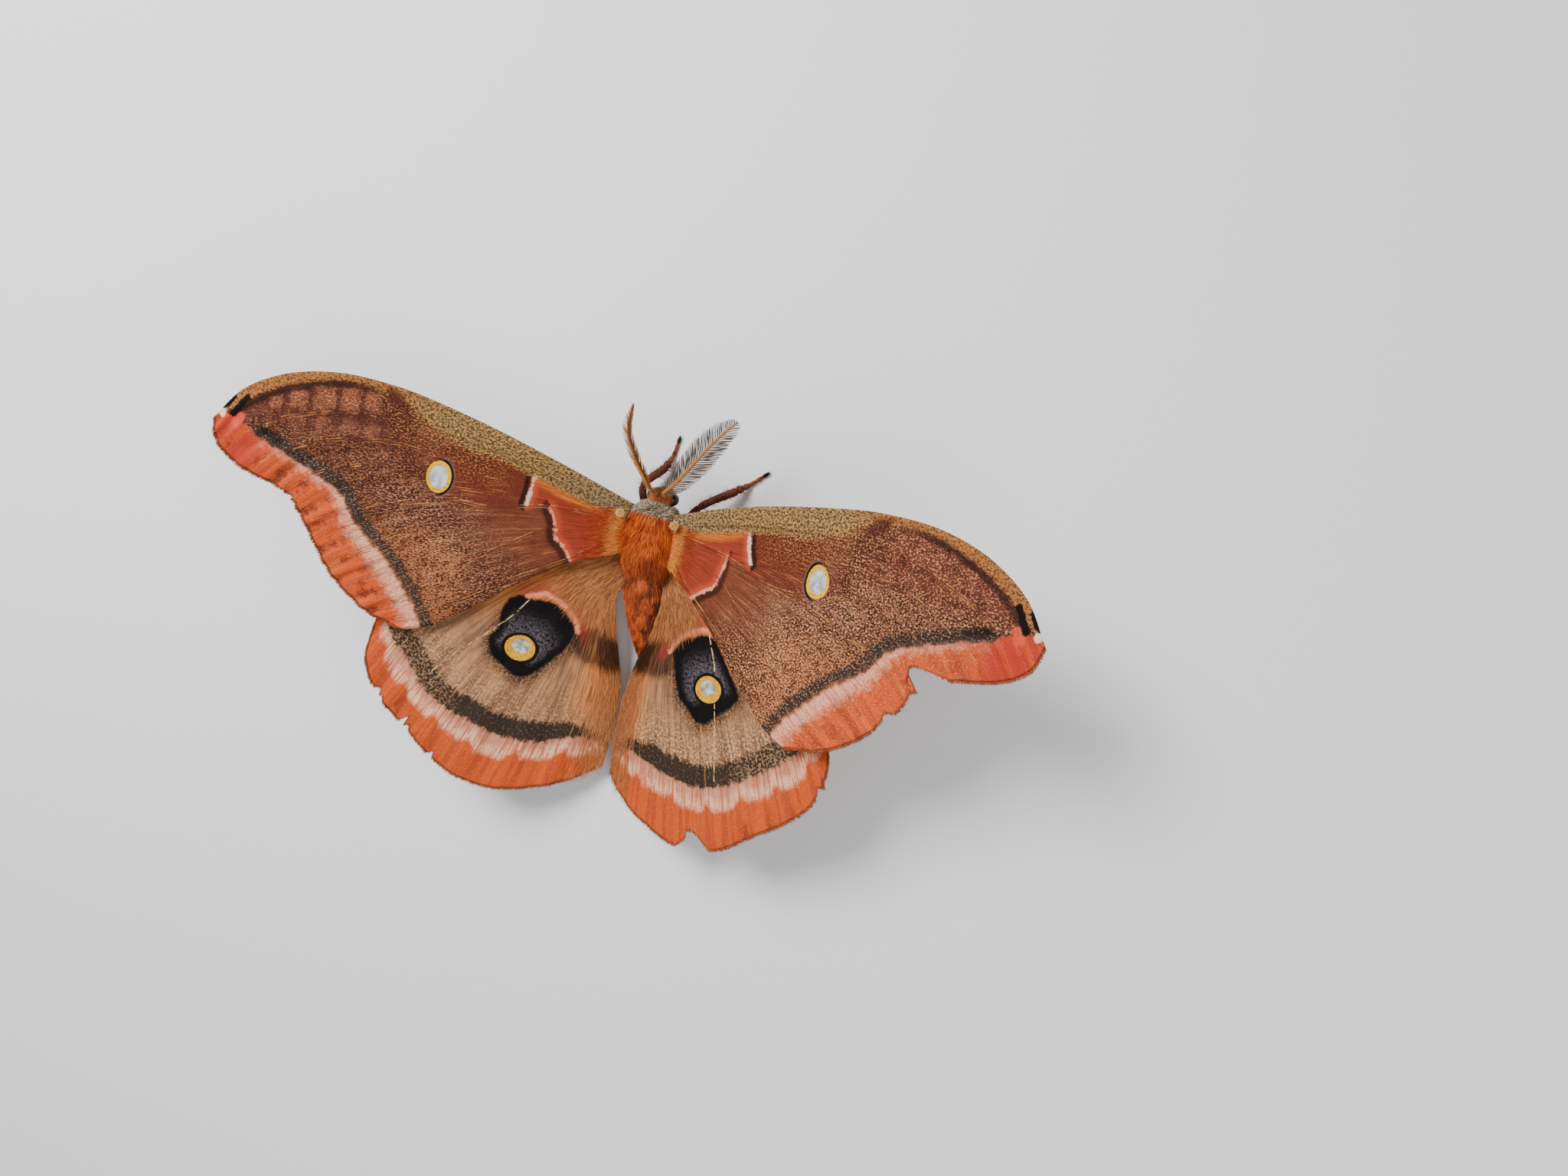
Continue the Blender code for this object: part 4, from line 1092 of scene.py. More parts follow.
def build_leg(name, settings, material):
    """One leg: femur and tibia as smooth tapers, then five tarsal segments and two claws, with its hair."""
    joints = np.array((*leg_root(name), *LEGS[name]))
    along = np.concatenate([[0.0], np.cumsum(np.linalg.norm(np.diff(joints, axis=0), axis=1))])
    along /= along[-1]
    places = np.linspace(0.0, 1.0, LEG_ROWS)
    path = smooth_path(joints, places)
    radius = np.interp(places, along, LEG_RADII)
    tarsus = np.clip((places - along[3]) / (1 - along[3]), 0, 1)
    radius = radius * (1.0 - 0.28 * (tarsus > 0) * np.abs(np.cos(tarsus * np.pi * TARSAL_SEGMENTS)) ** 6)
    for joint in along[2:4]:
        radius = radius * (1.0 - 0.25 * np.exp(-(((places - joint) / 0.012) ** 2)))
    path[:, 2] = np.maximum(path[:, 2], radius + 0.005)
    grids = [tube(path, radius, LEG_SIDES)]
    tip = path[-1]
    ahead = unit(tip - path[-6])
    side = unit(np.cross(ahead, [0.0, 0.0, 1.0]))
    t = np.linspace(0.0, 1.0, 9)[:, None]
    for way in (-1, 1):
        claw = tip + (ahead * 0.5 + side * way * 0.32) * t * 0.75 + np.array([0, 0, -0.18]) * t**2
        grids.append(tube(claw, np.linspace(*CLAW_RADII, 9), 6))
    points, quads = joined(grids)
    points[:, 2] = np.maximum(points[:, 2], 0.0)
    piece = new_mesh("leg_limb_" + name, points, quads, material)
    far = np.ones(len(points))
    limb = np.repeat([0.0, *places, 1.0], LEG_SIDES)
    far[: len(limb)] = limb
    add_vector(piece, "root", points)
    add_numbers(piece, along=0.0, tint=0.5, far=far)
    finished(piece, "leg", "leg_" + name)
    build_leg_hair(name, path, radius, along, settings, material)


def build_leg_hair(name, path, radius, along, settings, material):
    """Hair round a leg's femur and tibia, flat and longer along its edges, short on the tarsus."""
    rng = random_for("leg_" + name)
    grid = tube(path, radius, LEG_SIDES)
    count = int(LEG_TUFTS * settings.coat_share)
    weight = np.interp(np.linspace(0.0, 1.0, LEG_ROWS), [0, *along[2:5], 1], [1, 1, 1, 0.6, 0.4])
    weight = np.repeat(weight[:, None], LEG_SIDES + 1, axis=1)
    roots, up, shares = grid_picks(wrapped(grid), wrapped(grid_normals(grid)), count, weight, rng)
    steps = np.clip((shares[:, 0] * LEG_ROWS).astype(int), 0, LEG_ROWS - 1)
    ahead = unit(np.gradient(path, axis=0))[steps]
    edge = 1.0 - np.abs(up[:, 2])
    rise = rng.uniform(0.2, 0.5, count) + 0.85 * edge
    aims = unit(ahead + up * rise[:, None] + rng.normal(0, 0.1, (count, 3)))
    reach = np.interp(shares[:, 0], [0, along[2], along[3] - 0.03, along[3], 1], [1.7, 2.0, 2.2, 0.8, 0.4])
    lengths = reach * rng.uniform(0.5, 1.1, count) * (0.7 + 0.6 * edge)
    floor = (roots[:, 2] - 0.1) / np.maximum(-aims[:, 2], 1e-3)
    lengths = np.where(aims[:, 2] < 0, np.minimum(lengths, np.maximum(floor, 0.03)), lengths)
    widths = rng.uniform(0.045, 0.085, count)
    roots = roots - up * 0.03
    roots[:, 2] = np.maximum(roots[:, 2], 0.06)
    hair = "hair_leg_" + name
    bends = np.zeros(count)
    far = shares[:, 0]
    build_tufts(hair, "leg", material, roots, aims, up, lengths, widths, bends, shares, rng, far=far)


def build_tegulae(material):
    """The small cream knob where each forewing's costa starts, with a short fuzz."""
    squash = np.array([1.0, 1.0, 0.7])
    count = TEGULA_TUFTS
    for side, place in TEGULAE.items():
        rng = random_for("tegula_" + side)
        finished(ball_mesh("tegula_" + side, place, TEGULA_RADIUS, material, 20, 24, squash), "fur_orange")
        up = unit(rng.normal(0, 1.0, (count, 3)) * [1.0, 1.0, 0.8])
        roots = np.array(place) + up * 0.36 * squash
        aims = unit(up + np.array([0.0, -0.5, 0.2]) + rng.normal(0, 0.25, (count, 3)))
        across = unit(np.cross(aims, [0.3, 0.1, 1.0]))
        lengths = rng.uniform(0.25, 0.55, count)
        widths = rng.uniform(0.03, 0.05, count)
        bends = np.zeros(count)
        places = np.column_stack([np.arctan2(up[:, 1], up[:, 0]) / 6.3 + 0.5, np.arccos(up[:, 2]) / 3.15])
        name = "hair_tegula_" + side
        build_tufts(
            name, "fur_orange", material, roots, aims, across, lengths, widths, bends, places, rng
        )


class WingPaint(Paint):
    """A wing's material, with the fields that roughen its markings: patches, wobble, streaks and scales.

    Each mark named with a number is a field too, its line made uneven by that much of the wobble.
    """

    def __init__(self, kind, side, **marks):
        super().__init__(f"{kind}wing_scales_{side}", 0.62)
        self.side = side
        seed, grain = SCALES[kind, side]
        self.flat = self.vector("flat")
        self.span, self.chord, _ = self.flat.parts()
        fanned = self.vector("fan").shifted(0.0, 0.0, seed)
        self.broad = self.flat.noise(0.3, 4.0) - 0.5
        self.wobble = self.flat.noise(1.1, 3.0) - 0.5
        self.mottle = self.flat.noise(0.7, 4.0, 0.7)
        self.rays = fanned.stretched(60.0, 3.5, 1.0).noise(1.0, 3.0)
        self.hairs = fanned.stretched(170.0, 9.0, 1.0).noise(1.0, 2.0)
        self.fine = self.flat.noise(2.5, 4.0, 0.75)
        self.dots = self.flat.shifted(seed, 0.0, 0.0).stretched(*grain, 1.0).noise(1.0, 2.5, 0.62)
        dark, light = SPECKS[kind]
        self.dark = self.dots.ramp(*dark)
        self.light = self.dots.ramp(*light)
        for mark, amount in marks.items():
            setattr(self, mark, self.uneven(mark, amount))

    def uneven(self, mark, amount):
        """A mark's field, its line made uneven by this much of the wobble."""
        return self.number(mark) + self.wobble * amount

    def pick(self, left, right):
        """The left wing's value or the right wing's."""
        return left if self.side == "left" else right


def fore_field(wing):
    """The brown ground from the body to the dark line: streaks, cell, median shade, specks and dust."""
    span, chord, rays, hairs = wing.span, wing.chord, wing.rays, wing.hairs
    median, post, dark, light = wing.median, wing.post, wing.dark, wing.light
    ground = wing.mixed(median.ramp(-7.0, 1.0), (117, 61, 42), wing.pick((93, 55, 41), (121, 78, 58)))
    ground.lay(rays.ramp(0.5, 0.68) * 0.4, (156, 100, 72))
    ground.lay(rays.ramp(0.46, 0.32) * 0.6, (88, 47, 36))
    ground.lay(wing.broad.ramp(0.02, 0.14) * 0.5, (92, 47, 36))
    ground.lay(chord.ramp(-7.5, -12.0) * span.ramp(25.0, 15.0) * 0.92, (87, 40, 26))
    ground.lay(chord.ramp(-5.0, -11.0) * span.ramp(18.0, 24.0) * 0.55, (198, 120, 77))
    cell = wing.uneven("cell", 1.4).ramp(0.7, -0.7)
    ground.lay(cell * 0.9, (101, 43, 31))
    ground.lay(cell * hairs.ramp(0.5, 0.7) * 0.4, (136, 63, 44))
    ground.lay(median.size().ramp(2.8, 0.3) * chord.ramp(-8.0, 4.0) * 0.8, (85, 36, 29))
    outer = median.ramp(-4.5, 2.0) * post.ramp(0.4, -0.6)
    ground.lay(outer * wing.mottle.ramp(0.52, 0.4) * 0.7, (64, 35, 27))
    ground.lay(outer * wing.mottle.ramp(0.54, 0.66) * 0.35, (188, 120, 81))
    ground.lay(outer * dark * 0.94, (45, 26, 21))
    ground.lay(outer * light * wing.pick(0.5, 0.7), wing.pick((220, 136, 82), (246, 168, 109)))
    smooth = median.ramp(0.0, -5.0) * 0.35
    ground.lay(smooth * dark, (72, 35, 27))
    ground.lay(smooth * hairs.ramp(0.58, 0.72), (246, 154, 81))
    dust = median.ramp(-8.0, -1.0) * median.ramp(9.0, 3.0) * chord.ramp(3.0, -4.0) * post.ramp(-0.6, -2.0)
    ground.lay(dust * hairs.ramp(0.54, 0.7) * 0.28, (237, 171, 121))
    ground.lay(dust * light * 0.22, (246, 194, 155))
    return ground


def fore_blotches(wing, ground):
    """The field towards the tip: two rows of pale blotches with dark gaps, and its dark specks."""
    chord, fine = wing.chord, wing.fine
    field = chord.ramp(1.5, 4.5) * wing.median.ramp(0.5, 2.5) * wing.post.ramp(-0.5, -2.5)
    blotch = wing.uneven("blotch", 1.5) + (fine - 0.5) * 1.1
    row = wing.uneven("blotch_row", 2.2) + (fine - 0.5) * 1.2
    shown = wing.pick(1.0, 0.5)
    ground.lay(field * blotch.ramp(0.95, 1.2) * chord.ramp(4.5, 6.5) * (0.75 * shown), (70, 36, 30))
    gap = field * row.ramp(0.95, 1.2) * chord.ramp(6.5, 5.2) * chord.ramp(2.0, 3.5)
    ground.lay(gap * (0.5 * shown), (82, 44, 36))
    ground.lay(blotch.ramp(1.15, 0.7) * field * (0.62 * shown), (156, 91, 64))
    ground.lay(blotch.ramp(0.8, 0.3) * field * wing.light * 0.45, (246, 156, 102))
    ground.lay(blotch.ramp(1.1, 0.8) * field * wing.dark * 0.75, (92, 50, 41))
    ground.lay(row.ramp(1.05, 0.6) * field * (0.24 * shown), (162, 102, 77))
    ground.lay(field * wing.dots.ramp(0.58, 0.46) * wing.pick(0.15, 0.7), (100, 45, 37))
    ground.lay(field * wing.mottle.ramp(0.5, 0.4) * wing.pick(0.3, 0.6), (61, 31, 26))


def fore_base(wing, ground):
    """The brick-red base, golden at the body, with the white bar and the pink curve that end it."""
    span, fine, hairs = wing.span, wing.fine, wing.hairs
    red = wing.mixed(hairs.ramp(0.38, 0.64), (127, 48, 34), (161, 65, 41))
    red.lay(fine.ramp(0.46, 0.36) * 0.25, (109, 41, 32))
    red.lay(span.ramp(4.6, 0.8) * hairs.ramp(0.3, 0.6) * 0.8, (229, 116, 34))
    ground.lay(wing.uneven("base", 0.25).ramp(0.08, -0.08), red)
    bar, bar_off, curve, curve_off = map(wing.number, ("bar", "bar_off", "curve", "curve_off"))
    rough = (fine - 0.5) * 0.9
    waver = wing.wobble * 1.1
    ground.lay(bar_off.ramp(1.5, 0.4) * bar.ramp(0.3, 0.0) * 0.35, (239, 93, 61))
    ground.lay((bar - 0.75).size().ramp(0.55, 0.2) * bar_off.ramp(1.3, 1.1) * 0.92, (40, 20, 17))
    ground.lay((bar_off + rough + waver).ramp(0.4, 0.1) * 0.92, (246, 197, 171))
    ground.lay(curve_off.ramp(1.5, 0.3) * curve.ramp(0.3, 0.0) * 0.35, (243, 89, 57))
    shade = (curve_off - 0.75).size().ramp(0.85, 0.2) * curve.ramp(0.0, 0.4) * span.ramp(12.2, 11.4)
    ground.lay(shade * 0.85, (54, 26, 21))
    ground.lay((curve_off + rough + waver).ramp(0.34, 0.04) * 0.85, (246, 162, 130))


def fore_margin(wing, ground):
    """The dark line and the orange margin outside it, with painted shade in its folds, a pale edge and a
    redder tip.
    """
    chord, post, rays, wobble = wing.chord, wing.post, wing.rays, wing.wobble
    line = post.size().ramp(1.3, 0.45)
    brush = wing.hairs * 0.5 + wing.dots * 0.5
    ground.lay(line * (brush.ramp(0.62, 0.5) * 0.7 + 0.25), (44, 37, 33))
    ground.lay(line * wing.light * 0.55, (142, 125, 109))
    ground.lay(post.ramp(-3.6, -1.0) * post.ramp(-0.4, -1.2) * wing.dark * 0.5, (57, 40, 35))
    margin = wing.mixed(rays.ramp(0.42, 0.62), (214, 85, 39), (183, 74, 42))
    # Painted shade: the margin is darkened in the troughs of its folds, broken up by a patchy noise,
    # stronger on the left wing.
    folds = (wing.number("folds") + wobble * 3.4 + wing.broad * 5.0).ramp(0.5, -1.2)
    patchy = wing.flat.noise(0.4, 3.0).ramp(0.4, 0.58)
    margin.lay(folds * patchy * wing.pick(0.85, 0.4), (96, 40, 30))
    margin.lay(wing.light * wing.pick(0.22, 0.4), (246, 156, 102))
    reach = chord.ramp(2.0, -16.0) * 1.9 + 0.9
    pale = (post - reach + wobble * 1.8).ramp(1.3, -0.7) * chord.ramp(3.0, -2.0)
    margin.lay(pale * (0.3 + 0.65 * brush.ramp(0.4, 0.58)), (246, 186, 153))
    margin.lay(wing.span.ramp(48.0, 54.0) * (rays.ramp(0.35, 0.6) * 0.5 + 0.4), (184, 56, 44))
    ground.lay(post.ramp(0.8, 1.4), margin)


def fore_costa(wing, ground):
    """The front edge's olive and tan grain, the specks that spill from it, its dark marks and gold hair."""
    span, costal, fine = wing.span, wing.costal, wing.fine
    grit = wing.dots * 0.5 + fine * 0.5
    grain = grit.ramp(0.45, 0.56)
    fill = wing.mixed(grain, (65, 52, 38), (191, 144, 80))
    fill.lay(wing.flat.noise(0.8, 2.0).ramp(0.4, 0.7) * 0.3, (116, 93, 61))
    tan = wing.mixed(grit.ramp(0.42, 0.55), (84, 53, 34), (179, 115, 60))
    fill.lay(span.ramp(27.0, 36.0), tan)
    fill.lay(span.ramp(14.0, 1.0) * grain * 0.7, (144, 131, 101))
    ground.lay((costal + (fine - 0.5) * 2.4).ramp(-0.4, 0.4), fill)
    spill = costal.ramp(-6.5, -0.5) * span.ramp(14.0, 20.0) * span.ramp(40.0, 31.0) * costal.ramp(0.4, 0.0)
    ground.lay(spill * wing.dark * 0.85, (52, 37, 28))
    ground.lay(spill * wing.light * 0.7, (213, 144, 75))
    wedge = wing.median.size().ramp(2.0, 0.5) * costal.ramp(-2.5, -0.6) * costal.ramp(1.4, 0.2)
    ground.lay(wedge * span.ramp(29.0, 32.0) * 0.8, (66, 31, 25))
    ground.lay((costal + 0.5).size().ramp(0.7, 0.2) * span.ramp(34.0, 42.0) * 0.85, (47, 28, 22))
    fringe = wing.chord.ramp(-0.8, 0.6) * costal.ramp(0.3, -0.2) * costal.ramp(-1.4, -0.4)
    fringe = fringe * span.ramp(14.0, 11.0)
    ground.lay(fringe * wing.hairs.ramp(0.35, 0.6) * 0.9, (217, 120, 32))


def fore_veins(wing, ground):
    """The veins, darker than the field, with broken painted gold highlights beside them on their ridges."""
    vein = wing.number("vein")
    ground.lay(vein.ramp(0.2, 0.06) * 0.4 * wing.post.ramp(3.0, 0.0), (85, 45, 33))
    # Painted highlight: broken gold glints along the flanks of the veins' ridges.
    glint = (vein - 0.18).size().ramp(0.1, 0.02) * wing.flat.noise(0.3, 1.5).ramp(0.5, 0.58)
    glint = glint * wing.hairs.ramp(0.4, 0.55)
    ground.lay(glint * 0.45 * wing.costal.ramp(0.3, -0.3), (246, 168, 92))


def fore_tip(wing, ground):
    """The tip's shade, pink, white and black spots, and the thin dark edge all round the wing."""
    fine = wing.fine
    ground.lay(wing.uneven("apex_shade", 1.0).ramp(0.4, -0.3) * fine.ramp(0.6, 0.5), (39, 26, 22))
    ground.lay(wing.uneven("apex_pink", 0.9).ramp(0.4, -0.3) * 0.6, (246, 85, 66))
    ground.lay(wing.uneven("apex_white", 0.7).ramp(0.2, -0.1), (246, 214, 184))
    ground.lay((wing.uneven("apex", 0.5) + (fine - 0.5) * 0.7).ramp(0.12, -0.1), (24, 18, 16))
    ground.lay(wing.number("edge").ramp(0.4, 0.12) * 0.8, (66, 35, 25))


def fore_eyespot(wing, ground):
    """The eyespot: a black rim, thicker towards the body, a yellow ring and the window it gives back."""
    fine = wing.fine
    eye = wing.uneven("eyespot", 0.05)
    basal = wing.number("basalward").ramp(-0.8, 0.8)
    ground.lay(eye.ramp(1.36, 1.2) * basal * (fine.ramp(0.4, 0.6) * 0.5 + 0.4), (113, 91, 82))
    ground.lay(eye.ramp(1.22, 1.12) * (basal * 0.85 + 0.15), (22, 16, 14))
    yellow = wing.mixed(fine.ramp(0.4, 0.5), (201, 131, 18), (246, 187, 31))
    ground.lay(eye.ramp(1.02, 0.96), yellow)
    window = eye.ramp(0.74, 0.67)
    glass = wing.mixed(wing.flat.noise(0.9, 2.0).ramp(0.35, 0.65), (142, 155, 172), (236, 246, 246))
    if wing.side == "right":
        glass.lay(wing.number("eye_vein").ramp(0.16, 0.05) * 0.8, (80, 68, 58))
    ground.lay(window, glass)
    return window


def forewing_paint(side):
    """The forewing's colours: each marking's field, roughened by noise, lays its colour over the last."""
    wing = WingPaint("fore", side, post=1.3, median=2.6, costal=0.8)
    ground = fore_field(wing)
    for marking in (fore_blotches, fore_base, fore_margin, fore_costa, fore_veins, fore_tip):
        marking(wing, ground)
    return wing_material(wing, ground, fore_eyespot(wing, ground))


def wing_material(wing, top, window):
    """The upper side's colours over the plainer underside's, with scales as relief and clear windows."""
    margin = wing.number("margin")
    under = wing.mixed(wing.rays.ramp(0.35, 0.65), (124, 86, 69), (180, 126, 95))
    under.lay(wing.fine.ramp(0.5, 0.4) * 0.6, (81, 56, 47))
    under.lay(margin.ramp(6.4, 5.4) * margin.ramp(3.4, 4.4) * 0.8, (88, 61, 53))
    under.lay(margin.ramp(2.6, 1.6) * 0.6, (190, 114, 85))
    under.lay(window, (216, 217, 201))
    top.lay(wing.number("under").ramp(0.3, 0.7), under)
    wing.set("Alpha", 1.0 - window * 0.45)
    wing.set("Coat Weight", window * 0.6)
    height = wing.fine + wing.hairs * 0.8 + wing.number("vein").ramp(0.3, 0.0) * 0.5
    relief = {"Height": height, "Strength": 0.5, "Distance": 0.0002}
    wing.set("Normal", height.node("ShaderNodeBump", relief))
    return wing.coloured(top)


def hind_field(wing):
    """The tan field with streaks and specks, golden at the base and the inner edge, and its brown patch."""
    span, chord, band, rays, hairs = wing.span, wing.chord, wing.band, wing.rays, wing.hairs
    ground = wing.mixed(rays.ramp(0.36, 0.6), (138, 99, 73), (173, 125, 88))
    ground.lay(hairs.ramp(0.54, 0.68) * 0.3, (241, 172, 107))
    ground.lay(hairs.ramp(0.46, 0.34) * 0.45, (101, 68, 51))
    ground.lay(wing.broad.ramp(0.02, 0.14) * 0.45, (115, 82, 61))
    ground.lay(wing.light * band.ramp(-9.0, -3.0) * wing.pick(0.4, 0.6), (246, 195, 145))
    ground.lay(wing.dark * band.ramp(-10.0, -2.0) * wing.pick(0.35, 0.6), (81, 58, 47))
    ground.lay(hairs.ramp(0.56, 0.7) * band.ramp(-6.0, -1.0) * span.ramp(10.0, 16.0) * 0.5, (246, 213, 168))
    gold = wing.mixed(hairs.ramp(0.36, 0.62), (136, 80, 49), (208, 123, 61))
    gold.lay(rays.ramp(0.5, 0.7) * 0.4, (246, 164, 83))
    ground.lay(chord.ramp(-15.0, -8.0), gold)
    gold.lay(hairs.ramp(0.36, 0.62), (233, 138, 62))
    ground.lay(span.ramp(3.5, -1.5) * chord.ramp(-28.0, -22.0) * 0.8, gold)
    brown = wing.uneven("brown", 1.4).ramp(1.5, -0.4)
    ground.lay(brown * (hairs.ramp(0.7, 0.4) * 0.35 + 0.6), (62, 39, 28))
    return ground


def hind_patch(wing, ground):
    """The black patch in its haze, the red and pink crescent before it and its crest of grey scales."""
    fine, patch, ring = wing.fine, wing.patch, wing.ring
    crescent, crescent_off = map(wing.number, ("crescent", "crescent_off"))
    ground.lay(crescent_off.ramp(2.8, 0.2) * crescent.ramp(0.2, -0.2) * 0.7, (159, 57, 46))
    haze = patch.ramp(2.4, 0.0) * wing.chord.ramp(-9.0, -14.0)
    ground.lay(haze * (wing.dots.ramp(0.58, 0.46) * 0.6 + 0.25), (37, 28, 24))
    ground.lay(patch.ramp(0.3, -0.2), (18, 15, 15))
    rim = (crescent_off + (fine - 0.5) * 1.3).ramp(0.56, 0.08) * patch.ramp(-0.9, -0.3)
    ground.lay(rim * 0.92, (246, 144, 111))
    crest = patch.ramp(-0.5, -1.8) * ring.ramp(1.14, 1.3) * ring.ramp(3.3, 1.1)
    ground.lay(crest * crescent_off.ramp(9.6, 7.4) * fine.ramp(0.4, 0.58) * 0.8, (107, 97, 103))


def hind_ocellus(wing, ground):
    """The eyespot in the patch: a black ring, a yellow one and the window it gives back."""
    ring = wing.ring
    ground.lay(ring.ramp(1.14, 1.07), (17, 13, 13))
    yellow = wing.mixed(wing.fine.ramp(0.4, 0.5), (199, 120, 12), (223, 166, 36))
    ground.lay(ring.ramp(1.02, 0.96), yellow)
    pane = wing.uneven("window", 0.08)
    ground.lay(pane.ramp(1.2, 1.06) * 0.4, (212, 154, 10))
    window = pane.ramp(1.02, 0.92)
    glass = wing.mixed(wing.flat.noise(0.9, 2.0).ramp(0.35, 0.65), (128, 129, 118), (246, 246, 233))
    ground.lay(window, glass)
    return window


def hind_margin(wing, ground):
    """The dark band and, outside it, the scalloped pink and the orange border, with painted shade in its
    folds.
    """
    span, band, dots, light = wing.span, wing.band, wing.dots, wing.light
    wide = span.ramp(-3.0, 6.0) * 0.85 + 0.7
    brush = wing.hairs * 0.75 + dots * 0.25
    dark = (band.size() - wide + (brush - 0.5) * 2.2).ramp(0.6, -0.3)
    broken = span.ramp(16.0, 22.0) * 0.5
    ground.lay(dark * (1.0 - broken * dots.ramp(0.45, 0.56)) * 0.95, (44, 36, 31))
    ground.lay(dark * light * 0.35, (109, 95, 84))
    border = wing.mixed(wing.rays.ramp(0.42, 0.6), (206, 85, 36), (182, 72, 39))
    # Painted shade: the border is darkened in the troughs of its folds, broken up by a patchy noise.
    patchy = wing.flat.noise(0.32, 2.0).ramp(0.44, 0.58)
    border.lay(wing.number("folds").ramp(-0.3, -1.4) * patchy * 0.6, (111, 45, 33))
    border.lay(light * 0.2, (246, 140, 73))
    scallop = wing.uneven("scallop", 1.2) + wing.number("vein").ramp(1.3, 0.0)
    outer = wing.mixed(brush.ramp(0.4, 0.56), (200, 111, 80), (246, 186, 150))
    outer.lay(scallop.ramp(-0.6, 0.6), border)
    outer.lay(scallop.ramp(-0.8, -2.4) * 0.6, (173, 101, 75))
    ground.lay((band - wide).ramp(-0.4, 0.5), outer)


def hind_veins(wing, ground):
    """The pale vein across the patch, the faint other veins and the thin dark edge all round the wing."""
    clear = wing.ring.ramp(1.0, 1.2)
    shown = wing.flat.noise(1.4, 2.0).ramp(0.38, 0.5) * wing.band.ramp(2.0, 0.0) * clear
    ground.lay(wing.number("pale_vein").ramp(0.13, 0.04) * shown * 0.85, (246, 209, 135))
    faint = wing.rays.ramp(0.5, 0.65) * wing.band.ramp(3.0, 1.0) * clear * wing.patch.ramp(-0.5, 0.5)
    ground.lay(wing.number("vein").ramp(0.13, 0.04) * faint * 0.4, (241, 164, 85))
    ground.lay(wing.number("edge").ramp(0.4, 0.12) * 0.8, (85, 51, 33))


def hindwing_paint(side):
    """The hindwing's colours, laid on in the same way."""
    wing = WingPaint("hind", side, band=1.6, patch=0.6, ring=0.06)
    ground = hind_field(wing)
    hind_patch(wing, ground)
    window = hind_ocellus(wing, ground)
    hind_margin(wing, ground)
    hind_veins(wing, ground)
    return wing_material(wing, ground, window)


def fur_paint():
    """The coat: orange red on the thorax, browner to the tail, grey on the collar, darker at each root, with
    painted shade on the thorax's right rear.
    """
    coat = Paint("fur", 0.72)
    root = coat.vector("root")
    x, y, _ = root.parts()
    tint = coat.number("tint")
    colour = coat.mixed(root.noise(1.1, 3.0).ramp(0.36, 0.64), (193, 63, 38), (246, 130, 53))
    rear = coat.mixed(root.noise(0.8, 3.0).ramp(0.42, 0.6), (241, 116, 60), (115, 62, 47))
    colour.lay(y.ramp(-2.5, -7.5), rear)
    # Painted shade: the thorax's coat is darkened in a spot on its right rear.
    painted_shade_spot = (x - 1.7) * (x - 1.7) * 0.5 + (y + 5.4) * (y + 5.4) * 0.35
    colour.lay(painted_shade_spot.ramp(1.9, 0.2) * 0.55, (105, 55, 42))
    colour.lay(y.ramp(2.9, 3.6), (191, 120, 78))
    colour.lay(tint.ramp(0.55, 1.0) * 0.45, (246, 141, 72))
    colour.lay(tint.ramp(0.4, 0.0) * 0.4, (114, 55, 42))
    mixed = tint * 0.5 + root.noise(1.7, 2.0) * 0.5
    grey = coat.mixed(mixed.ramp(0.36, 0.56), (61, 55, 47), (246, 235, 200))
    grey.lay(tint.ramp(0.7, 0.95) * 0.75, (181, 104, 61))
    colour.lay(coat.number("collar"), grey)
    colour.lay(coat.number("along").ramp(0.5, 0.0) * 0.45, (92, 43, 33))
    return coat.coloured(colour)


def hair_paint():
    """The hair of the wing bases: golden beside the body, brick on the forewing, tan over the hindwing."""
    coat = Paint("wing_hair", 0.7)
    tint = coat.number("tint")
    x, y, _ = coat.vector("root").parts()
    colour = coat.mixed(tint.ramp(0.1, 0.9), (160, 93, 59), (246, 173, 109))
    colour.lay(y.ramp(-8.0, -18.0) * 0.6, (207, 132, 79))
    brick = coat.mixed(tint.ramp(0.2, 0.8), (164, 70, 46), (200, 87, 48))
    gold = coat.mixed(tint.ramp(0.2, 0.8), (221, 116, 42), (246, 173, 87))
    brick.lay(x.size().ramp(5.9, 4.6), gold)
    colour.lay(coat.number("fore"), brick)
    colour.lay(coat.number("brown").ramp(1.2, -0.4) * 0.94, (61, 39, 28))
    colour.lay(coat.number("along").ramp(0.3, 0.0) * 0.4, (114, 61, 42))
    return coat.coloured(colour)


def leg_paint():
    """Dark maroon legs with browner hair, orange brown in the feet and near-black tips."""
    coat = Paint("leg_scales", 0.68)
    far = coat.number("far")
    root = coat.vector("root")
    colour = coat.mixed(coat.number("tint").ramp(0.2, 0.9), (66, 36, 32), (140, 82, 61))
    colour.lay(root.noise(0.9, 2.0).ramp(0.5, 0.62) * 0.5, (82, 42, 34))
    foot = far.ramp(0.7, 0.76) * root.noise(0.8, 1.0).ramp(0.42, 0.56)
    colour.lay(foot * 0.7, (148, 81, 56))
    colour.lay(far.ramp(0.92, 0.96) * 0.92, (28, 19, 18))
    return coat.coloured(colour)


def antenna_paint(side):
    """Orange-brown shafts; rays painted golden on the left antenna, seen edge on, and greyer on the right:
    painted light, not a real difference in colour.
    """
    coat = Paint("antenna_horn_" + side, 0.5)
    return coat.coloured(coat.mixed(coat.number("ray"), (175, 110, 53), RAY_COLOURS[side]))


def tinted_paint(name, roughness, low, high):
    """A coat whose locks go from one colour to another by their tint."""
    coat = Paint(name, roughness)
    return coat.coloured(coat.mixed(coat.number("tint").ramp(0.1, 0.9), low, high))


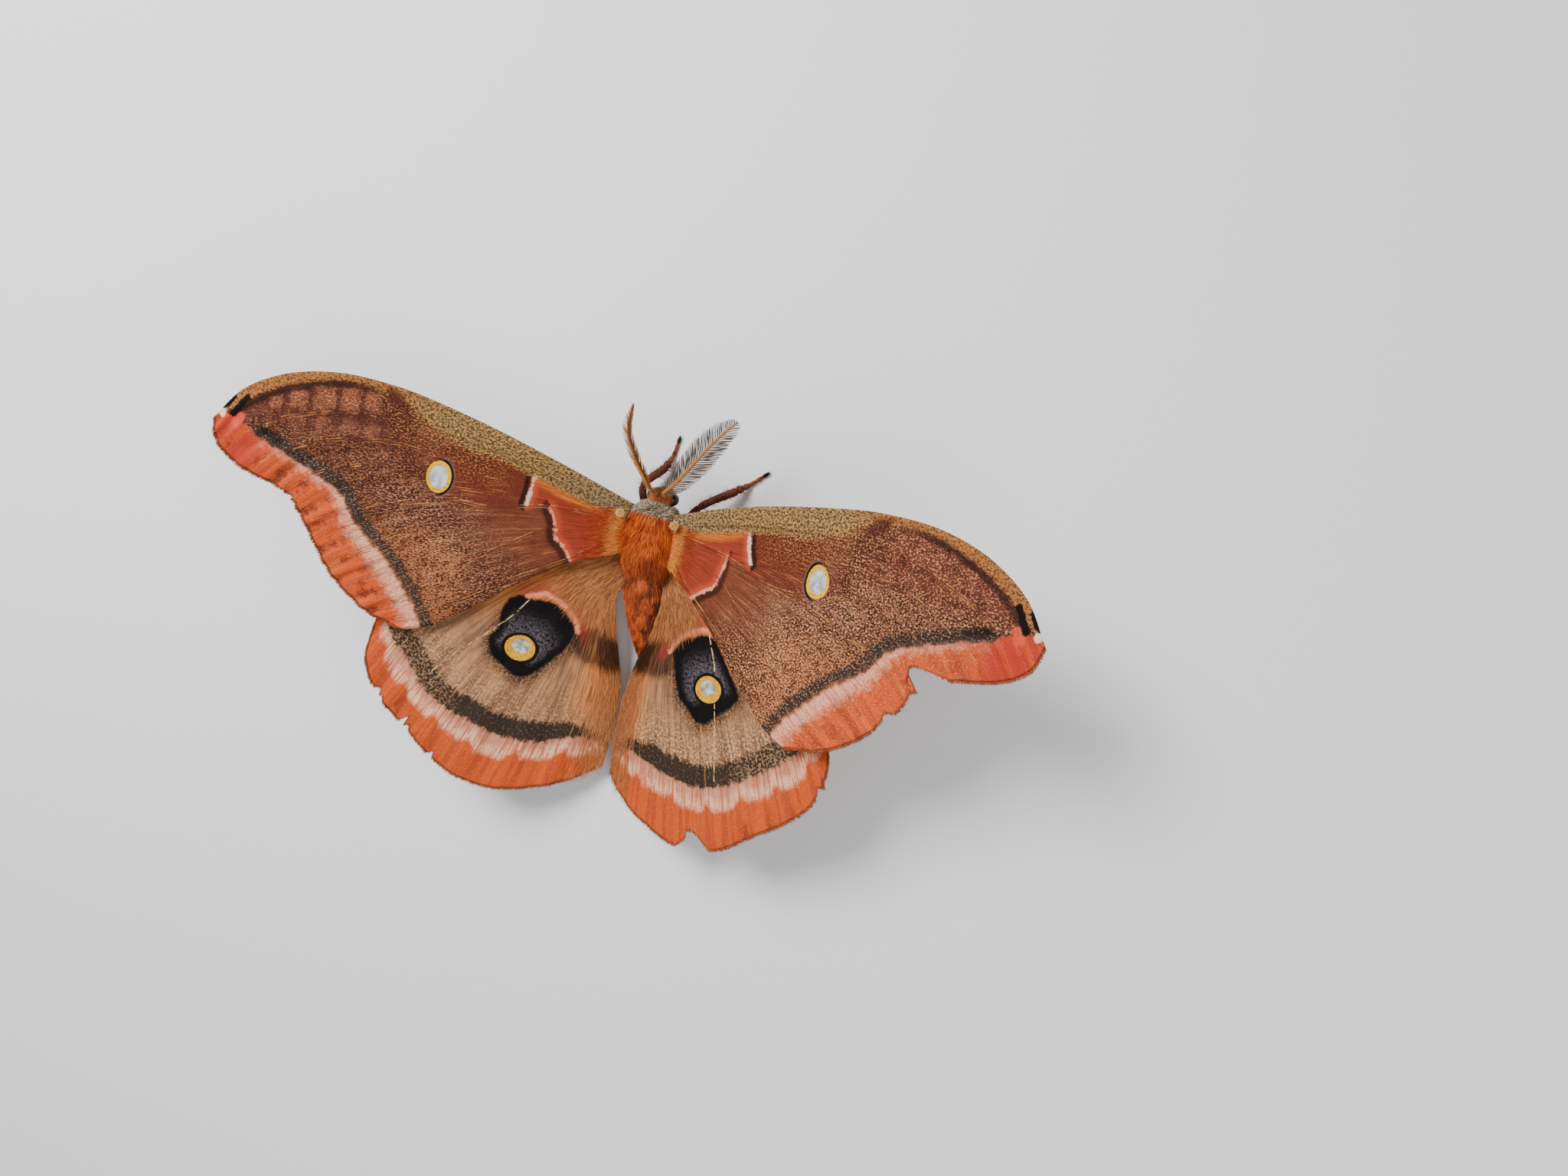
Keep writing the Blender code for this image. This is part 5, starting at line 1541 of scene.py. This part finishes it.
def cream_paint():
    """The cream scales of the tegulae, yellower where the tint is low."""
    coat = Paint("tegula_scales", 0.6)
    return coat.coloured(coat.mixed(coat.number("tint").ramp(0.1, 0.8), (246, 179, 75), (246, 230, 167)))


def eye_paint():
    """Near-black eyes under a clear, glossy coat."""
    coat = Paint("eye_glass", 0.16)
    coat.set("Coat Weight", 0.6)
    coat.set("Coat Roughness", 0.08)
    return coat.coloured(paint(24, 20, 19))


def build_floor():
    """A plain pale floor under the moth."""
    points = np.array([(x, y, 0.0) for x, y in ((-1, -1), (1, -1), (1, 1), (-1, 1))]) * FLOOR_REACH
    floor = new_mesh("floor", points, [(0, 1, 2, 3)], Paint("floor", 0.9).coloured(paint(246, 246, 246)))


def add_light(name, place, size, power):
    """A round soft light at a place, turned to the moth's middle."""
    data = bpy.data.lights.new(name, "AREA")
    data.shape = "DISK"
    data.size = size
    data.energy = power
    lamp = bpy.data.objects.new(name, data)
    lamp.location = Vector(placed(place))
    lamp.rotation_mode = "QUATERNION"
    lamp.rotation_quaternion = (Vector(placed(LIGHT_AIM)) - lamp.location).to_track_quat("-Z", "Y")
    bpy.context.scene.collection.objects.link(lamp)


def build_lights(settings):
    """Soft studio light: a large key to the upper left of the view, a fill and an even pale surround."""
    for name, (place, size, power) in LIGHTS.items():
        add_light(name, place, size, power * settings.light)
    world = bpy.data.worlds.new("surround")
    world.use_nodes = True
    background = world.node_tree.nodes["Background"]
    background.inputs["Color"].default_value = SURROUND_COLOUR
    background.inputs["Strength"].default_value = SURROUND_STRENGTH * settings.light
    bpy.context.scene.world = world


def build_camera():
    """The camera at the photo's place and angle on the moth."""
    data = bpy.data.cameras.new("camera")
    data.sensor_width = SENSOR
    data.lens = FOCAL_PIXELS / IMAGE_WIDTH * SENSOR
    data.clip_start = 0.005
    data.clip_end = 10.0
    data.dof.use_dof = False
    camera = bpy.data.objects.new("camera", data)
    bpy.context.scene.collection.objects.link(camera)
    turn = Matrix(CAMERA_AXES).transposed().to_4x4()
    camera.matrix_world = Matrix.Translation(Vector(placed(CAMERA_PLACE))) @ turn
    bpy.context.scene.camera = camera


class MothSettings(bpy.types.PropertyGroup):
    """What can be changed before the pieces are built."""

    membrane: bpy.props.FloatProperty(
        name="Membrane",
        description="Thickness of a wing's membrane, in millimetres",
        default=MEMBRANE,
        min=0.05,
        max=0.5,
    )
    vein_height: bpy.props.FloatProperty(
        name="Vein height",
        description="Height of the veins' ridges, in millimetres",
        default=VEIN_HEIGHT,
        min=0.0,
        max=0.5,
    )
    coat_share: bpy.props.FloatProperty(
        name="Coat share",
        description="Share of the coat's tufts that is made",
        default=1.0,
        min=0.05,
        max=1.0,
        subtype="FACTOR",
    )
    coat_length: bpy.props.FloatProperty(
        name="Coat length",
        description="Length of the body's hair against its usual one",
        default=1.0,
        min=0.2,
        max=1.5,
    )
    antenna_rays: bpy.props.IntProperty(
        name="Antenna rays", description="Segments with rays on each antenna", default=46, min=8, max=48
    )
    light: bpy.props.FloatProperty(
        name="Light",
        description="Strength of the studio light against its usual one",
        default=1.0,
        min=0.1,
        max=4.0,
    )


class MOTH_OT_wings(bpy.types.Operator):
    """Build the four wings with their hair and fringes"""

    bl_idname = "moth.wings"
    bl_label = "Wings"

    def execute(self, context):
        settings = context.scene.moth_settings
        hair = hair_paint()
        fringe = tinted_paint("fringe", 0.7, (105, 57, 40), (193, 101, 60))
        for side in SIDES:
            for kind, material in (("fore", forewing_paint(side)), ("hind", hindwing_paint(side))):
                wing = build_wing(kind, side, settings, material)
                build_wing_hair(wing, settings, hair)
                build_fringe(wing, fringe)
        return {"FINISHED"}


class MOTH_OT_body(bpy.types.Operator):
    """Build the body's skin and its coat"""

    bl_idname = "moth.body"
    bl_label = "Body"

    def execute(self, context):
        fur = fur_paint()
        grid = build_body(fur)
        for part in COATS:
            build_coat(part, grid, context.scene.moth_settings, fur)
        build_palps(fur)
        build_tegulae(cream_paint())
        return {"FINISHED"}


class MOTH_OT_head(bpy.types.Operator):
    """Build the eyes and the feathered antennae"""

    bl_idname = "moth.head"
    bl_label = "Eyes and antennae"

    def execute(self, context):
        build_eyes(eye_paint())
        for side in SIDES:
            build_antenna(side, context.scene.moth_settings, antenna_paint(side))
        return {"FINISHED"}


class MOTH_OT_legs(bpy.types.Operator):
    """Build the six legs with their hair"""

    bl_idname = "moth.legs"
    bl_label = "Legs"

    def execute(self, context):
        material = leg_paint()
        for name in LEGS:
            build_leg(name, context.scene.moth_settings, material)
        return {"FINISHED"}


class MOTH_OT_stage(bpy.types.Operator):
    """Build the floor, the lights and the camera"""

    bl_idname = "moth.stage"
    bl_label = "Stage"

    def execute(self, context):
        build_floor()
        build_lights(context.scene.moth_settings)
        build_camera()
        return {"FINISHED"}


class MOTH_PT_panel(bpy.types.Panel):
    """The moth's settings and a button for each group of pieces"""

    bl_label = "Moth"
    bl_idname = "MOTH_PT_panel"
    bl_space_type = "VIEW_3D"
    bl_region_type = "UI"
    bl_category = "Moth"

    def draw(self, context):
        for name in MothSettings.__annotations__:
            self.layout.prop(context.scene.moth_settings, name)
        for operator in OPERATORS:
            self.layout.operator(operator.bl_idname)


OPERATORS = (MOTH_OT_wings, MOTH_OT_body, MOTH_OT_head, MOTH_OT_legs, MOTH_OT_stage)
CLASSES = (MothSettings, *OPERATORS, MOTH_PT_panel)


def register():
    for made in CLASSES:
        bpy.utils.register_class(made)
    bpy.types.Scene.moth_settings = bpy.props.PointerProperty(type=MothSettings)


def unregister():
    del bpy.types.Scene.moth_settings
    for made in reversed(CLASSES):
        bpy.utils.unregister_class(made)


def main():
    """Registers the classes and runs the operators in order."""
    register()
    bpy.ops.moth.wings()
    bpy.ops.moth.body()
    bpy.ops.moth.head()
    bpy.ops.moth.legs()
    bpy.ops.moth.stage()


if __name__ == "__main__":
    main()
